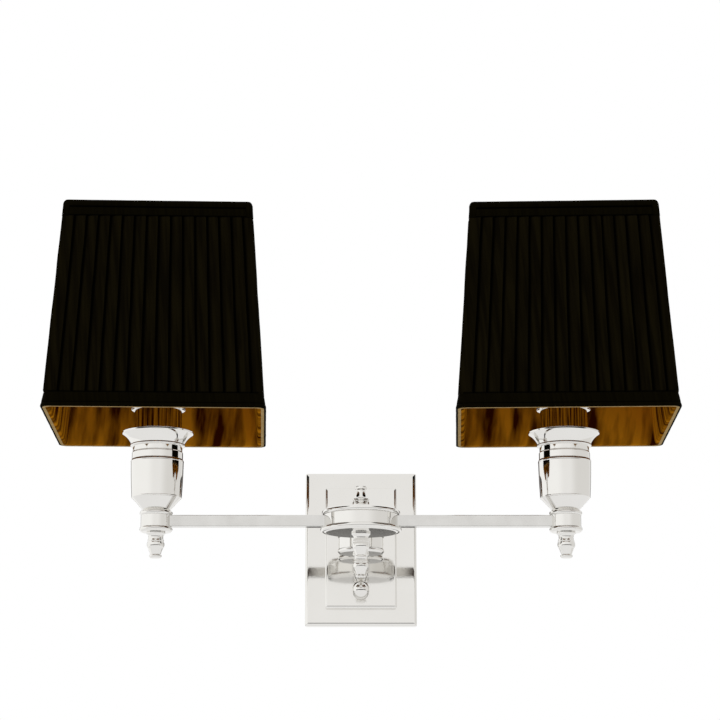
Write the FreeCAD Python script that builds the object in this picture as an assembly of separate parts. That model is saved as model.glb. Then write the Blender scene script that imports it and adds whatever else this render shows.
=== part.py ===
import FreeCAD, Part
import math
import os
from FreeCAD import Vector as V

# Double arm wall sconce: a stepped rectangular wall plate, a pivot knuckle, a
# forward bar to a round drum, and two side bars that end in upright lamp
# holders with square pleated shades.
# Frame: the wall is the plane Y = 0, the lamp reaches out along -Y, X runs along
# the two arms and Z is up. The origin is the centre of the wall bracket's screw
# pattern. "left" is -X, the viewer's left. All lengths are in millimetres.

# ---- Driving dimensions: whole lamp ----
PROJECTION = 180.0            # wall to the axis of the drum and the lamp holders
ARM_REACH = 169.0             # drum axis to each lamp holder's axis
SHADE_TURN = 2.5              # degrees each shade stands turned towards the middle

# ---- Wall plate and what is behind it ----
PLATE_WIDTH, PLATE_HEIGHT, PLATE_DEPTH = 100.0, 138.0, 11.0
PANEL_WIDTH, PANEL_HEIGHT, PANEL_RISE = 64.0, 108.0, 9.0
PLATE_SHEET = 1.5
PLATE_CORNER, PLATE_EDGE = 1.5, 1.4
PANEL_SEAT = 1.5              # how far the pan's face runs in behind the panel's rim
BRACKET_WIDTH, BRACKET_HEIGHT, BRACKET_THICKNESS = 24.0, 124.0, 2.0
WALL_SLOT_SPACING, WALL_SLOT_LENGTH, WALL_SLOT_WIDTH = 104.0, 10.0, 4.8
NUT_SPACING = 76.0            # between the two ball nuts that hold the plate
STUD_RADIUS, STUD_HEAD_RADIUS, STUD_HEAD_THICKNESS = 2.0, 3.0, 0.9
STUD_INTO_NUT = 8.0
BALL_NUT_RADIUS, BALL_NUT_NECK_RADIUS, BALL_NUT_NECK = 7.5, 4.4, 2.2
TERMINAL_WIDTH, TERMINAL_DEPTH, TERMINAL_HEIGHT, TERMINAL_Z = 22.0, 11.0, 13.0, -23.0
TERMINAL_PITCH = 7.0
TERMINAL_BORE, TERMINAL_SCREW_RADIUS = 1.5, 1.6
EARTH_SCREW_Z, EARTH_HEAD_RADIUS, EARTH_HEAD_THICKNESS = 22.0, 4.0, 2.4

# ---- Threaded tubes, rods and nuts ----
TUBE_RADIUS, TUBE_BORE = 5.0, 3.7
ROD_RADIUS = 3.0
THREAD_FIT = 0.05
HOLE_CLEARANCE = 0.25
TUBE_NUT_FLATS, TUBE_NUT_THICKNESS = 14.0, 3.5
TUBE_WASHER_RADIUS, TUBE_WASHER_THICKNESS = 9.0, 1.0
TUBE_END = 1.5                # how far a tube shows past its nut
WIRE_HOLE = 2.6

# ---- Knuckle ----
KNUCKLE_STANDOFF = 25.0       # panel face to the knuckle's axis
KNUCKLE_BODY_RADIUS, KNUCKLE_RIM_RADIUS = 19.8, 20.7
KNUCKLE_BODY_HALF, KNUCKLE_HALF = 5.0, 8.9
KNUCKLE_CORE_RADIUS = 12.0
KNUCKLE_GAP = 0.3             # between the yoke's web and the turning barrel
KNUCKLE_END_PLAY = 0.1
SWING = 15.0                  # degrees the arms swing to each side
SWING_MARGIN = 2.5
WEB_HALF_ANGLE = 20.0
NECK_RADIUS = 7.0
BOSS_RADIUS, BOSS_THICKNESS = 11.0, 2.5
TUBE_INTO_YOKE = 4.5
PIVOT_FIT = 0.05

# ---- Bars, drum and collars ----
BAR_SIZE, BAR_WALL, BAR_EDGE = 9.5, 1.4, 0.6
DRUM_BODY_RADIUS, DRUM_BODY_HALF, DRUM_WALL = 30.6, 5.0, 3.0
DRUM_CAP_THICKNESS = 4.6
DRUM_TOP_RIM_RADIUS, DRUM_BOTTOM_RIM_RADIUS = 32.2, 33.4
SPLICE_RADIUS, SPLICE_LENGTH, SPLICE_OFFSET = 3.2, 13.0, 14.0
COLLAR_BODY_RADIUS, COLLAR_RIM_RADIUS = 12.6, 13.5
COLLAR_BODY_HALF, COLLAR_HALF = 5.0, 9.0
SPINDLE_LENGTH, SPINDLE_RADIUS = 21.4, 7.8
TOP_FINIAL_HEIGHT, TOP_FINIAL_RADIUS = 19.4, 6.9
FINIAL_ROD_DEPTH, FINIAL_TUBE_DEPTH, FINIAL_TOP_DEPTH = 11.0, 11.0, 9.0

# ---- Lamp holder ----
CUP_FLOOR = 20.5              # heights above the arms' centre line
CUP_WAIST = 62.0
CUP_LIP = 73.9
CUP_LIP_RADIUS = 29.6
SLEEVE_RADIUS, SLEEVE_WALL = 19.6, 1.2
SLEEVE_TOP = 95.0
SLEEVE_FLANGE_RADIUS, SLEEVE_FLANGE_THICKNESS = 22.9, 1.0
SLEEVE_FIT = 0.05
LAMPHOLDER_BOTTOM, LAMPHOLDER_TOP = 50.0, 106.0
LAMPHOLDER_RADIUS, LAMPHOLDER_BASE_RADIUS = 16.9, 13.0
SOCKET_RADIUS, SOCKET_SHELL_WALL, SOCKET_FLOOR = 13.3, 0.65, 78.0
CONTACT_RADIUS, CONTACT_HEIGHT = 4.5, 1.8

# ---- Shade ----
SHADE_BOTTOM_SIZE, SHADE_TOP_SIZE = 180.0, 154.0
SHADE_BOTTOM, SHADE_HEIGHT = 79.3, 173.7
PLEATS_PER_SIDE = 16
PLEAT_DEPTH = 1.0
COVER_BACKING = 0.4
BAND_THICKNESS = 1.0
TOP_BAND_HEIGHT, BOTTOM_BAND_HEIGHT, BAND_TURN_IN = 12.0, 11.5, 5.0
BAND_CORNER = 2.0
HEM_FLARE = 1.2               # how far the bottom band's edge stands out past the pleats' line
FRAME_WIRE_RADIUS = 1.5
LINING_THICKNESS = 0.6
ARM_WIRE_RADIUS = 1.3
ARM_WIRE_STUB, ARM_WIRE_RISE = 8.0, 30.0
ARM_WIRE_GAP = 0.6            # between the shade nut and the arm wires' upright ends
CARRIER_THICKNESS, CARRIER_RADIUS, CARRIER_BORE_CLEARANCE = 3.0, 22.4, 0.4
SHADE_NUT_RADIUS, SHADE_NUT_HEIGHT, SHADE_NUT_FLUTES = 19.0, 6.0, 16
SEAT_GAP = 0.1                # between flat faces that turn on each other

# ---- Worked out from the driving dimensions ----
PANEL_FACE = -(PLATE_DEPTH + PANEL_RISE)
PANEL_BACK = PANEL_FACE + PLATE_SHEET
KNUCKLE_Y = PANEL_FACE - KNUCKLE_STANDOFF
ARM_Y = -PROJECTION
BAR_HALF = BAR_SIZE / 2
DRUM_HALF = DRUM_BODY_HALF + DRUM_CAP_THICKNESS
CARRIER_BOTTOM = SLEEVE_TOP + SEAT_GAP
CARRIER_TOP = CARRIER_BOTTOM + CARRIER_THICKNESS
COVER_CREST = BAND_THICKNESS
COVER_VALLEY = COVER_CREST + PLEAT_DEPTH
COVER_INSIDE = COVER_VALLEY + COVER_BACKING
LINING_OUTSIDE = COVER_INSIDE + 2 * FRAME_WIRE_RADIUS
LINING_INSIDE = LINING_OUTSIDE + LINING_THICKNESS
BAND_INSIDE = LINING_INSIDE + BAND_THICKNESS
SHADE_TOP = SHADE_BOTTOM + SHADE_HEIGHT
SKIN_BOTTOM = SHADE_BOTTOM + BAND_THICKNESS
SKIN_TOP = SHADE_TOP - BAND_THICKNESS

X_AXIS, Y_AXIS, Z_AXIS = V(1, 0, 0), V(0, 1, 0), V(0, 0, 1)
ORIGIN = V(0, 0, 0)


# ---- Shape helpers ----
def block(x0, x1, y0, y1, z0, z1):
    return Part.makeBox(x1 - x0, y1 - y0, z1 - z0, V(x0, y0, z0))


def upright(radius, z0, z1, x=0.0, y=0.0):
    """A cylinder that stands on z0 and ends at z1."""
    return Part.makeCylinder(radius, z1 - z0, V(x, y, z0), Z_AXIS)


def outward(radius, y0, y1, x=0.0, z=0.0):
    """A cylinder along Y between two depths, y0 the one nearer the wall."""
    return Part.makeCylinder(radius, y0 - y1, V(x, y1, z), Y_AXIS)


def tube(outer, inner, z0, z1):
    return upright(outer, z0, z1).cut(upright(inner, z0, z1))


def turned(*steps):
    """Revolves a closed profile about Z.

    A step (r, z) is a straight line to that point, and a step
    ((r, z), (r, z)) is an arc through the first point to the second.
    """
    start = V(steps[0][0], 0, steps[0][1])
    edges, here = [], start
    for step in steps[1:] + (steps[0],):
        if isinstance(step[0], tuple):
            middle, end = V(step[0][0], 0, step[0][1]), V(step[1][0], 0, step[1][1])
            edges.append(Part.Arc(here, middle, end).toShape())
        else:
            end = V(step[0], 0, step[1])
            edges.append(Part.makeLine(here, end))
        here = end
    return Part.Face(Part.Wire(edges)).revolve(ORIGIN, Z_AXIS, 360)


def facing_out(shape):
    """Lays an upright turned shape over, so that its top points out of the wall."""
    return shape.rotated(ORIGIN, X_AXIS, 90)


def hexagon(flats, z0, z1):
    corner = flats / 2 / math.cos(math.pi / 6)
    points = [V(corner * math.cos(math.radians(60 * i)), corner * math.sin(math.radians(60 * i)), z0)
              for i in range(7)]
    return Part.Face(Part.makePolygon(points)).extrude(V(0, 0, z1 - z0))


def edges_where(shape, test):
    return [edge for edge in shape.Edges if test(edge.BoundBox)]


def group(*solids):
    """Several separate solids in one node."""
    return Part.makeCompound([solid for shape in solids for solid in shape.Solids])


# ---- Wall plate ----
def pressed_tray(width, height, back, front):
    """A sheet tray with its open side at back, its corners and front edges rounded."""
    tray = block(-width / 2, width / 2, front, back, -height / 2, height / 2)
    depth = back - front
    corners = edges_where(tray, lambda b: b.YLength > depth - 0.01)
    tray = tray.makeFillet(PLATE_CORNER, corners)
    rim = edges_where(tray, lambda b: b.YMax < front + 0.01)
    tray = tray.makeFillet(PLATE_EDGE, rim)
    inner_w, inner_h = width / 2 - PLATE_SHEET, height / 2 - PLATE_SHEET
    return tray.cut(block(-inner_w, inner_w, front + PLATE_SHEET, back, -inner_h, inner_h))


def wall_plate():
    """The outer pan, with a window in its face behind the raised panel."""
    pan = pressed_tray(PLATE_WIDTH, PLATE_HEIGHT, 0.0, -PLATE_DEPTH)
    half_w = PANEL_WIDTH / 2 - PLATE_SHEET - PANEL_SEAT
    half_h = PANEL_HEIGHT / 2 - PLATE_SHEET - PANEL_SEAT
    return pan.cut(block(-half_w, half_w, -PLATE_DEPTH, 0, -half_h, half_h))


def plate_panel():
    """The raised inner panel, drilled for the two studs and the arm's tube."""
    panel = pressed_tray(PANEL_WIDTH, PANEL_HEIGHT, -PLATE_DEPTH, PANEL_FACE)
    holes = [outward(TUBE_RADIUS + HOLE_CLEARANCE, PANEL_BACK, PANEL_FACE)]
    for side in (-1, 1):
        holes.append(outward(STUD_RADIUS + HOLE_CLEARANCE, PANEL_BACK, PANEL_FACE,
                             z=side * NUT_SPACING / 2))
    return panel.cut(holes)


def wall_bracket():
    """The steel strap that is screwed to the wall and carries the two studs."""
    half_w, half_h = BRACKET_WIDTH / 2, BRACKET_HEIGHT / 2
    strap = block(-half_w, half_w, -BRACKET_THICKNESS, 0, -half_h, half_h)
    corners = edges_where(strap, lambda b: b.YLength > BRACKET_THICKNESS - 0.01)
    strap = strap.makeFillet(BRACKET_WIDTH / 6, corners)
    for side in (-1, 1):
        slot_z, stud_z = side * WALL_SLOT_SPACING / 2, side * NUT_SPACING / 2
        slot_r = WALL_SLOT_WIDTH / 2
        reach = WALL_SLOT_LENGTH / 2 - slot_r
        strap = strap.cut([
            block(-slot_r, slot_r, -BRACKET_THICKNESS, 0, slot_z - reach, slot_z + reach),
            outward(slot_r, 0, -BRACKET_THICKNESS, z=slot_z - reach),
            outward(slot_r, 0, -BRACKET_THICKNESS, z=slot_z + reach),
            outward(STUD_RADIUS + THREAD_FIT, 0, -BRACKET_THICKNESS, z=stud_z),
            outward(STUD_HEAD_RADIUS + THREAD_FIT, 0, -STUD_HEAD_THICKNESS, z=stud_z),
        ])
    return strap.cut(outward(STUD_RADIUS + THREAD_FIT, 0, -BRACKET_THICKNESS, z=EARTH_SCREW_Z))


def bracket_studs():
    studs = []
    for side in (-1, 1):
        z = side * NUT_SPACING / 2
        shank = outward(STUD_RADIUS, 0, PANEL_FACE - STUD_INTO_NUT, z=z)
        studs.append(shank.fuse(outward(STUD_HEAD_RADIUS, 0, -STUD_HEAD_THICKNESS, z=z)))
    return group(*studs)


def ball_nuts():
    """The two ball nuts on the panel's face: a short neck and a full ball."""
    reach = math.sqrt(BALL_NUT_RADIUS ** 2 - BALL_NUT_NECK_RADIUS ** 2)
    top = BALL_NUT_NECK + reach + BALL_NUT_RADIUS
    waist = BALL_NUT_NECK + reach
    bore, depth = STUD_RADIUS + THREAD_FIT, STUD_INTO_NUT + 0.5
    nut = turned((bore, 0), (BALL_NUT_NECK_RADIUS, 0), (BALL_NUT_NECK_RADIUS, BALL_NUT_NECK),
                 ((BALL_NUT_RADIUS, waist), (0, top)), (0, depth), (bore, depth))
    nut = facing_out(nut)
    return group(*[nut.translated(V(0, PANEL_FACE, side * NUT_SPACING / 2)) for side in (-1, 1)])


def terminal_block():
    """A three-way terminal on the bracket: wire entries along Z, screws from the front."""
    back = -BRACKET_THICKNESS
    front = back - TERMINAL_DEPTH
    half_w, half_h = TERMINAL_WIDTH / 2, TERMINAL_HEIGHT / 2
    body = block(-half_w, half_w, front, back, TERMINAL_Z - half_h, TERMINAL_Z + half_h)
    middle = (front + back) / 2
    for way in (-1, 0, 1):
        x = way * TERMINAL_PITCH
        entry = upright(TERMINAL_BORE, TERMINAL_Z - half_h, TERMINAL_Z + half_h, x, middle)
        body = body.cut([entry, outward(TERMINAL_SCREW_RADIUS + THREAD_FIT, middle, front,
                                        x=x, z=TERMINAL_Z)])
    return body


def terminal_screws():
    """The three clamp screws, each standing down on its wire entry's axis."""
    front = -BRACKET_THICKNESS - TERMINAL_DEPTH
    middle = front + TERMINAL_DEPTH / 2
    slot = TERMINAL_SCREW_RADIUS / 4
    screws = []
    for way in (-1, 0, 1):
        x = way * TERMINAL_PITCH
        shank = outward(TERMINAL_SCREW_RADIUS, middle, front + slot, x=x, z=TERMINAL_Z)
        groove = block(x - 2 * TERMINAL_SCREW_RADIUS, x + 2 * TERMINAL_SCREW_RADIUS, front,
                       front + 3 * slot, TERMINAL_Z - slot / 2, TERMINAL_Z + slot / 2)
        screws.append(shank.cut(groove))
    return group(*screws)


def earth_screw():
    head_back = -BRACKET_THICKNESS
    head_front = head_back - EARTH_HEAD_THICKNESS
    head = outward(EARTH_HEAD_RADIUS, head_back, head_front, z=EARTH_SCREW_Z)
    rim = edges_where(head, lambda b: b.YMax < head_front + 0.01 and b.YLength < 0.01)
    head = head.makeFillet(EARTH_HEAD_THICKNESS / 3, rim)
    slot = EARTH_HEAD_THICKNESS / 3
    head = head.cut(block(-EARTH_HEAD_RADIUS, EARTH_HEAD_RADIUS, head_front, head_front + slot,
                          EARTH_SCREW_Z - slot / 2, EARTH_SCREW_Z + slot / 2))
    return head.fuse(outward(STUD_RADIUS, 0, head_back, z=EARTH_SCREW_Z))


# ---- Fixing of the arm to the plate ----
def stem_washer():
    ring = tube(TUBE_WASHER_RADIUS, TUBE_RADIUS + HOLE_CLEARANCE, -TUBE_WASHER_THICKNESS, 0)
    return facing_out(ring).translated(V(0, PANEL_BACK, 0))


def stem_nut():
    nut = hexagon(TUBE_NUT_FLATS, -TUBE_NUT_THICKNESS, 0)
    nut = nut.cut(upright(TUBE_RADIUS + THREAD_FIT, -TUBE_NUT_THICKNESS, 0))
    return facing_out(nut).translated(V(0, PANEL_BACK + TUBE_WASHER_THICKNESS, 0))


def stem_tube():
    """The threaded tube through the panel into the yoke, which carries the wires."""
    back = PANEL_BACK + TUBE_WASHER_THICKNESS + TUBE_NUT_THICKNESS + TUBE_END
    front = PANEL_FACE - BOSS_THICKNESS - TUBE_INTO_YOKE
    return outward(TUBE_RADIUS, back, front).cut(outward(TUBE_BORE, back, front))


def wall_boss():
    """The turned collar between the panel and the yoke's neck."""
    bore = TUBE_RADIUS + THREAD_FIT
    lip = BOSS_THICKNESS * 0.4
    boss = turned((bore, 0), (BOSS_RADIUS, 0), (BOSS_RADIUS, lip),
                  ((NECK_RADIUS + (BOSS_RADIUS - NECK_RADIUS) * 0.6, lip + BOSS_THICKNESS * 0.18),
                   (NECK_RADIUS + 0.5, BOSS_THICKNESS)), (bore, BOSS_THICKNESS))
    return facing_out(boss).translated(V(0, PANEL_FACE, 0))


# ---- Knuckle ----
def rimmed_disc(rim, body, bore, inner_z, outer_z):
    """A disc between two heights whose edge is a rounded rim that stands out past body."""
    middle_z = (inner_z + outer_z) / 2
    flat = rim - (rim - body) * 2.2
    return turned((bore, inner_z), (body, inner_z), ((rim, middle_z), (body, outer_z - (outer_z - inner_z) * 0.1)),
                  (flat, outer_z), (bore, outer_z))


def sector(outer, inner, half_angle, half_height):
    """A sector of a ring about Z, centred on the direction of the wall (+Y)."""
    start = V(math.sin(math.radians(half_angle)), math.cos(math.radians(half_angle)), 0)
    turn = math.degrees(math.atan2(start.y, start.x))
    solid = Part.makeCylinder(outer, 2 * half_height, V(0, 0, -half_height), Z_AXIS, 2 * half_angle)
    solid = solid.cut(upright(inner, -half_height, half_height))
    return solid.rotated(ORIGIN, Z_AXIS, turn)


def knuckle_yoke():
    """The fixed half: two rimmed discs joined by a web at the wall side, with a neck."""
    bore = ROD_RADIUS + PIVOT_FIT
    top = rimmed_disc(KNUCKLE_RIM_RADIUS, KNUCKLE_BODY_RADIUS, bore, KNUCKLE_BODY_HALF, KNUCKLE_HALF)
    bottom = rimmed_disc(KNUCKLE_RIM_RADIUS, KNUCKLE_BODY_RADIUS, bore, -KNUCKLE_BODY_HALF, -KNUCKLE_HALF)
    web = sector(KNUCKLE_BODY_RADIUS, KNUCKLE_CORE_RADIUS + KNUCKLE_GAP, WEB_HALF_ANGLE, KNUCKLE_BODY_HALF)
    neck_back = KNUCKLE_STANDOFF - BOSS_THICKNESS
    neck = outward(NECK_RADIUS, neck_back, KNUCKLE_BODY_RADIUS - 1.0)
    yoke = top.fuse([bottom, web, neck]).removeSplitter()
    web_inside = KNUCKLE_CORE_RADIUS + KNUCKLE_GAP
    yoke = yoke.cut([outward(TUBE_RADIUS + THREAD_FIT, neck_back, neck_back - TUBE_INTO_YOKE),
                     outward(WIRE_HOLE, neck_back, web_inside - 1.0)])
    return yoke.translated(V(0, KNUCKLE_Y, 0))


def seat_distance(radius):
    """How far from the axis a flat on a round body is, where it is one bar wide."""
    return math.sqrt(radius ** 2 - BAR_HALF ** 2)


def knuckle_barrel():
    """The turning half: a barrel with a notch for the yoke's web and a flat for the bar."""
    half = KNUCKLE_BODY_HALF - KNUCKLE_END_PLAY
    radius = KNUCKLE_BODY_RADIUS
    barrel = upright(radius, -half, half)
    notch = sector(radius + 1, KNUCKLE_CORE_RADIUS, WEB_HALF_ANGLE + SWING + SWING_MARGIN, half)
    flat = block(-radius, radius, -radius - 1, -seat_distance(radius), -half, half)
    barrel = barrel.cut([notch, flat, upright(ROD_RADIUS + PIVOT_FIT, -half, half)])
    wire_room = upright((KNUCKLE_CORE_RADIUS + ROD_RADIUS) / 2, -WIRE_HOLE, WIRE_HOLE)
    wire_way = outward(WIRE_HOLE, KNUCKLE_CORE_RADIUS, -radius)
    barrel = barrel.cut([wire_room, wire_way])
    return barrel.translated(V(0, KNUCKLE_Y, 0))


def spindle_finial(bore, depth, top):
    """The small turned finial that hangs below a hub: flange, neck, ring, bulb and tip."""
    def at(radius, drop):
        return SPINDLE_RADIUS * radius, top - SPINDLE_LENGTH * drop

    return turned((bore, top), at(1, 0), at(1, 0.06), (at(0.84, 0.12), at(0.81, 0.28)), at(0.87, 0.34),
                  at(0.83, 0.36), (at(0.92, 0.46), at(0.78, 0.63)), at(0.54, 0.86),
                  (at(0.64, 0.94), at(0.46, 1)), (0, top - SPINDLE_LENGTH), (0, top - depth), (bore, top - depth))


def top_finial(bore, depth, base):
    """The finial that stands on a hub: base ring, neck, two beads, a bell and a flat knob."""
    def at(radius, rise):
        return TOP_FINIAL_RADIUS * radius, base + TOP_FINIAL_HEIGHT * rise

    return turned((bore, base), at(0.80, 0), at(0.80, 0.06), (at(0.70, 0.14), at(0.74, 0.27)), at(0.82, 0.29),
                  at(0.80, 0.33), at(0.92, 0.35), at(0.92, 0.385), at(0.88, 0.40),
                  (at(1, 0.44), at(0.92, 0.48)), (at(0.60, 0.63), at(0.52, 0.82)),
                  (at(0.56, 0.86), at(0.68, 0.885)), at(0.70, 0.98), at(0.66, 1), (0, base + TOP_FINIAL_HEIGHT),
                  (0, base + depth), (bore, base + depth))


def hub_rod(half):
    """The rod through a hub, from the bottom finial's bore to the top finial's bore."""
    return upright(ROD_RADIUS, -half - FINIAL_ROD_DEPTH + 1, half + FINIAL_TOP_DEPTH - 1)


# ---- Bars ----
def square_bar(length):
    """A square tube that starts at the origin and runs along +X."""
    bar = block(0, length, -BAR_HALF, BAR_HALF, -BAR_HALF, BAR_HALF)
    bar = bar.makeFillet(BAR_EDGE, edges_where(bar, lambda b: b.XLength > length - 0.01))
    inner = BAR_HALF - BAR_WALL
    return bar.cut(block(0, length, -inner, inner, -inner, inner))


def forward_bar():
    back = KNUCKLE_Y - seat_distance(KNUCKLE_BODY_RADIUS)
    front = ARM_Y + seat_distance(DRUM_BODY_RADIUS)
    bar = square_bar(back - front).rotated(ORIGIN, Z_AXIS, -90)
    return bar.translated(V(0, back, 0))


def right_arm_bar():
    start = seat_distance(DRUM_BODY_RADIUS)
    end = ARM_REACH - seat_distance(COLLAR_BODY_RADIUS)
    return square_bar(end - start).translated(V(start, ARM_Y, 0))


# ---- Drum ----
def drum_body():
    """The drum's ring, with a flat and a wire hole for each of the three bars."""
    ring = tube(DRUM_BODY_RADIUS, DRUM_BODY_RADIUS - DRUM_WALL, -DRUM_BODY_HALF, DRUM_BODY_HALF)
    seat, beyond = seat_distance(DRUM_BODY_RADIUS), DRUM_BODY_RADIUS + 1
    for turn in (0, 90, 180):
        flat = block(seat, beyond, -BAR_SIZE, BAR_SIZE, -DRUM_BODY_HALF, DRUM_BODY_HALF)
        hole = Part.makeCylinder(WIRE_HOLE, DRUM_BODY_RADIUS, ORIGIN, X_AXIS)
        ring = ring.cut([shape.rotated(ORIGIN, Z_AXIS, turn) for shape in (flat, hole)])
    return ring.translated(V(0, ARM_Y, 0))


def drum_cap(side, rim):
    bore = ROD_RADIUS + THREAD_FIT
    cap = rimmed_disc(rim, DRUM_BODY_RADIUS, bore, side * DRUM_BODY_HALF, side * DRUM_HALF)
    return cap.translated(V(0, ARM_Y, 0))


def drum_splices():
    """Three closed splice caps that lie in the drum, where the supply splits in two."""
    radius, cone = SPLICE_RADIUS, SPLICE_RADIUS * 0.6
    cap = turned((0, 0), (radius, 0), (radius, SPLICE_LENGTH - 3), (cone, SPLICE_LENGTH), (0, SPLICE_LENGTH))
    cap = cap.rotated(ORIGIN, Y_AXIS, 90).translated(V(-SPLICE_LENGTH / 2, 0, 0))
    floor = -DRUM_BODY_HALF + SPLICE_RADIUS
    caps = []
    for turn in (0, 120, 240):
        placed = cap.translated(V(0, -SPLICE_OFFSET, floor)).rotated(ORIGIN, Z_AXIS, turn)
        caps.append(placed.translated(V(0, ARM_Y, 0)))
    return group(*caps)


# ---- Lamp holder, made on its own axis ----
def collar():
    """The round collar that takes the side bar on a flat, with a rim above and below."""
    bore, seat = TUBE_RADIUS + THREAD_FIT, seat_distance(COLLAR_BODY_RADIUS)
    top = rimmed_disc(COLLAR_RIM_RADIUS, COLLAR_BODY_RADIUS, bore, COLLAR_BODY_HALF, COLLAR_HALF)
    bottom = rimmed_disc(COLLAR_RIM_RADIUS, COLLAR_BODY_RADIUS, bore, -COLLAR_BODY_HALF, -COLLAR_HALF)
    body = tube(COLLAR_BODY_RADIUS, bore, -COLLAR_BODY_HALF, COLLAR_BODY_HALF)
    flat = block(-COLLAR_RIM_RADIUS, -seat, -COLLAR_RIM_RADIUS, COLLAR_RIM_RADIUS,
                 -COLLAR_BODY_HALF, COLLAR_BODY_HALF)
    wire_hole = Part.makeCylinder(WIRE_HOLE, COLLAR_RIM_RADIUS, V(-COLLAR_RIM_RADIUS, 0, 0), X_AXIS)
    return body.cut(flat).fuse([top, bottom]).removeSplitter().cut(wire_hole)


def lamp_tube():
    """The threaded tube from the finial up to the lampholder, with a side hole for the wires."""
    bottom = -COLLAR_HALF - FINIAL_TUBE_DEPTH + 1
    shaft = tube(TUBE_RADIUS, TUBE_BORE, bottom, LAMPHOLDER_BOTTOM + 2 * TUBE_RADIUS)
    return shaft.cut(Part.makeCylinder(WIRE_HOLE, TUBE_RADIUS + 1, V(-TUBE_RADIUS - 1, 0, 0), X_AXIS))


def cup():
    """The turned cup: cone, barrel with stepped rings, waist bead and trumpet lip."""
    bore, inside = TUBE_RADIUS + THREAD_FIT, SLEEVE_RADIUS + SLEEVE_FIT
    base, waist, lip, lip_r = COLLAR_HALF, CUP_WAIST, CUP_LIP, CUP_LIP_RADIUS
    return turned((bore, base), (11.0, base), (19.9, 18.9), ((20.7, 19.4), (20.7, 20.2)),
                  ((21.5, 36.0), (21.8, 49.0)), ((21.7, 50.6), (21.1, 51.4)), (21.1, 57.0), (20.5, 57.8),
                  (20.5, waist), (22.2, waist + 0.3), ((22.7, waist + 1.2), (22.3, waist + 2.1)),
                  ((25.0, waist + 7.2), (lip_r - 0.3, lip - 0.6)), ((lip_r, lip), (lip_r - 0.6, lip + 0.3)),
                  ((24.1, waist + 7.7), (inside, waist + 1.2)), (inside, CUP_FLOOR), (bore, CUP_FLOOR))


def cup_nut():
    nut = hexagon(TUBE_NUT_FLATS, CUP_FLOOR, CUP_FLOOR + TUBE_NUT_THICKNESS)
    return nut.cut(upright(TUBE_RADIUS + THREAD_FIT, CUP_FLOOR, CUP_FLOOR + TUBE_NUT_THICKNESS))


def candle_sleeve():
    """The polished sleeve over the lampholder, with a flange that carries the shade."""
    inner, outer, flange = SLEEVE_RADIUS - SLEEVE_WALL, SLEEVE_RADIUS, SLEEVE_FLANGE_RADIUS
    under, edge = SLEEVE_TOP - SLEEVE_FLANGE_THICKNESS, SLEEVE_FLANGE_THICKNESS / 2
    return turned((inner, CUP_FLOOR), (outer, CUP_FLOOR), (outer, under), (flange - edge, under),
                  ((flange, under + edge), (flange - edge, SLEEVE_TOP)), (inner, SLEEVE_TOP))


def lampholder():
    """The insulating holder body, threaded outside at its top for the shade nut."""
    bore = TUBE_RADIUS + THREAD_FIT
    base, shell = LAMPHOLDER_BASE_RADIUS, LAMPHOLDER_RADIUS
    well = SOCKET_RADIUS + SOCKET_SHELL_WALL + THREAD_FIT
    bottom, tube_end = LAMPHOLDER_BOTTOM, LAMPHOLDER_BOTTOM + 2 * TUBE_RADIUS
    return turned((bore, bottom), (base, bottom), (shell, bottom + 6), (shell, LAMPHOLDER_TOP),
                  (well, LAMPHOLDER_TOP), (well, SOCKET_FLOOR), (WIRE_HOLE, SOCKET_FLOOR),
                  (WIRE_HOLE, tube_end), (bore, tube_end))


def socket_shell():
    """The brass screw shell that takes the lamp's cap."""
    return tube(SOCKET_RADIUS + SOCKET_SHELL_WALL, SOCKET_RADIUS,
                SOCKET_FLOOR + 2, LAMPHOLDER_TOP - 1)


def socket_contact():
    """The centre contact on the socket's floor: a disc with a raised button."""
    rim, button = CONTACT_HEIGHT / 3, CONTACT_RADIUS / 2
    top = SOCKET_FLOOR + CONTACT_HEIGHT
    return turned((0, SOCKET_FLOOR), (CONTACT_RADIUS, SOCKET_FLOOR), (CONTACT_RADIUS, SOCKET_FLOOR + rim),
                  (button, SOCKET_FLOOR + rim), (button, top - rim), (button - rim, top), (0, top))


# ---- Shade, made on its own axis and facing the room ----
def half_size(z):
    """Half the shade's outer width at a height, without the bottom band's flare."""
    share = (z - SHADE_BOTTOM) / SHADE_HEIGHT
    straight_bottom = SHADE_BOTTOM_SIZE - 2 * HEM_FLARE
    return (straight_bottom + (SHADE_TOP_SIZE - straight_bottom) * share) / 2


def rounded_square(half, corner, z):
    edges = []
    for turn in range(4):
        mid = corner * (1 - math.sqrt(0.5))
        line = Part.makeLine(V(half, corner - half, z), V(half, half - corner, z))
        bend = Part.Arc(V(half, half - corner, z), V(half - mid, half - mid, z),
                        V(half - corner, half, z)).toShape()
        edges += [edge.rotated(ORIGIN, Z_AXIS, 90 * turn) for edge in (line, bend)]
    return Part.Wire(edges)


def frustum(inset, z0, z1, corner=0.0, flare=None):
    """A solid square frustum whose faces stand inset in from the shade's outer faces."""
    wires = []
    for z in (z0, z1):
        half = half_size(z) - inset + (flare(z) if flare else 0)
        if corner:
            wires.append(rounded_square(half, corner, z))
        else:
            wires.append(Part.makePolygon([V(sx * half, sy * half, z) for sx, sy in
                                           ((1, -1), (1, 1), (-1, 1), (-1, -1), (1, -1))]))
    return Part.makeLoft(wires, True, True)


def square_skin(outer_inset, inner_inset, z0, z1, corner=0.0, flare=None):
    """A square skin between two insets. flare(z) widens its outer face."""
    return frustum(outer_inset, z0, z1, corner, flare).cut(frustum(inner_inset, z0, z1))


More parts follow.
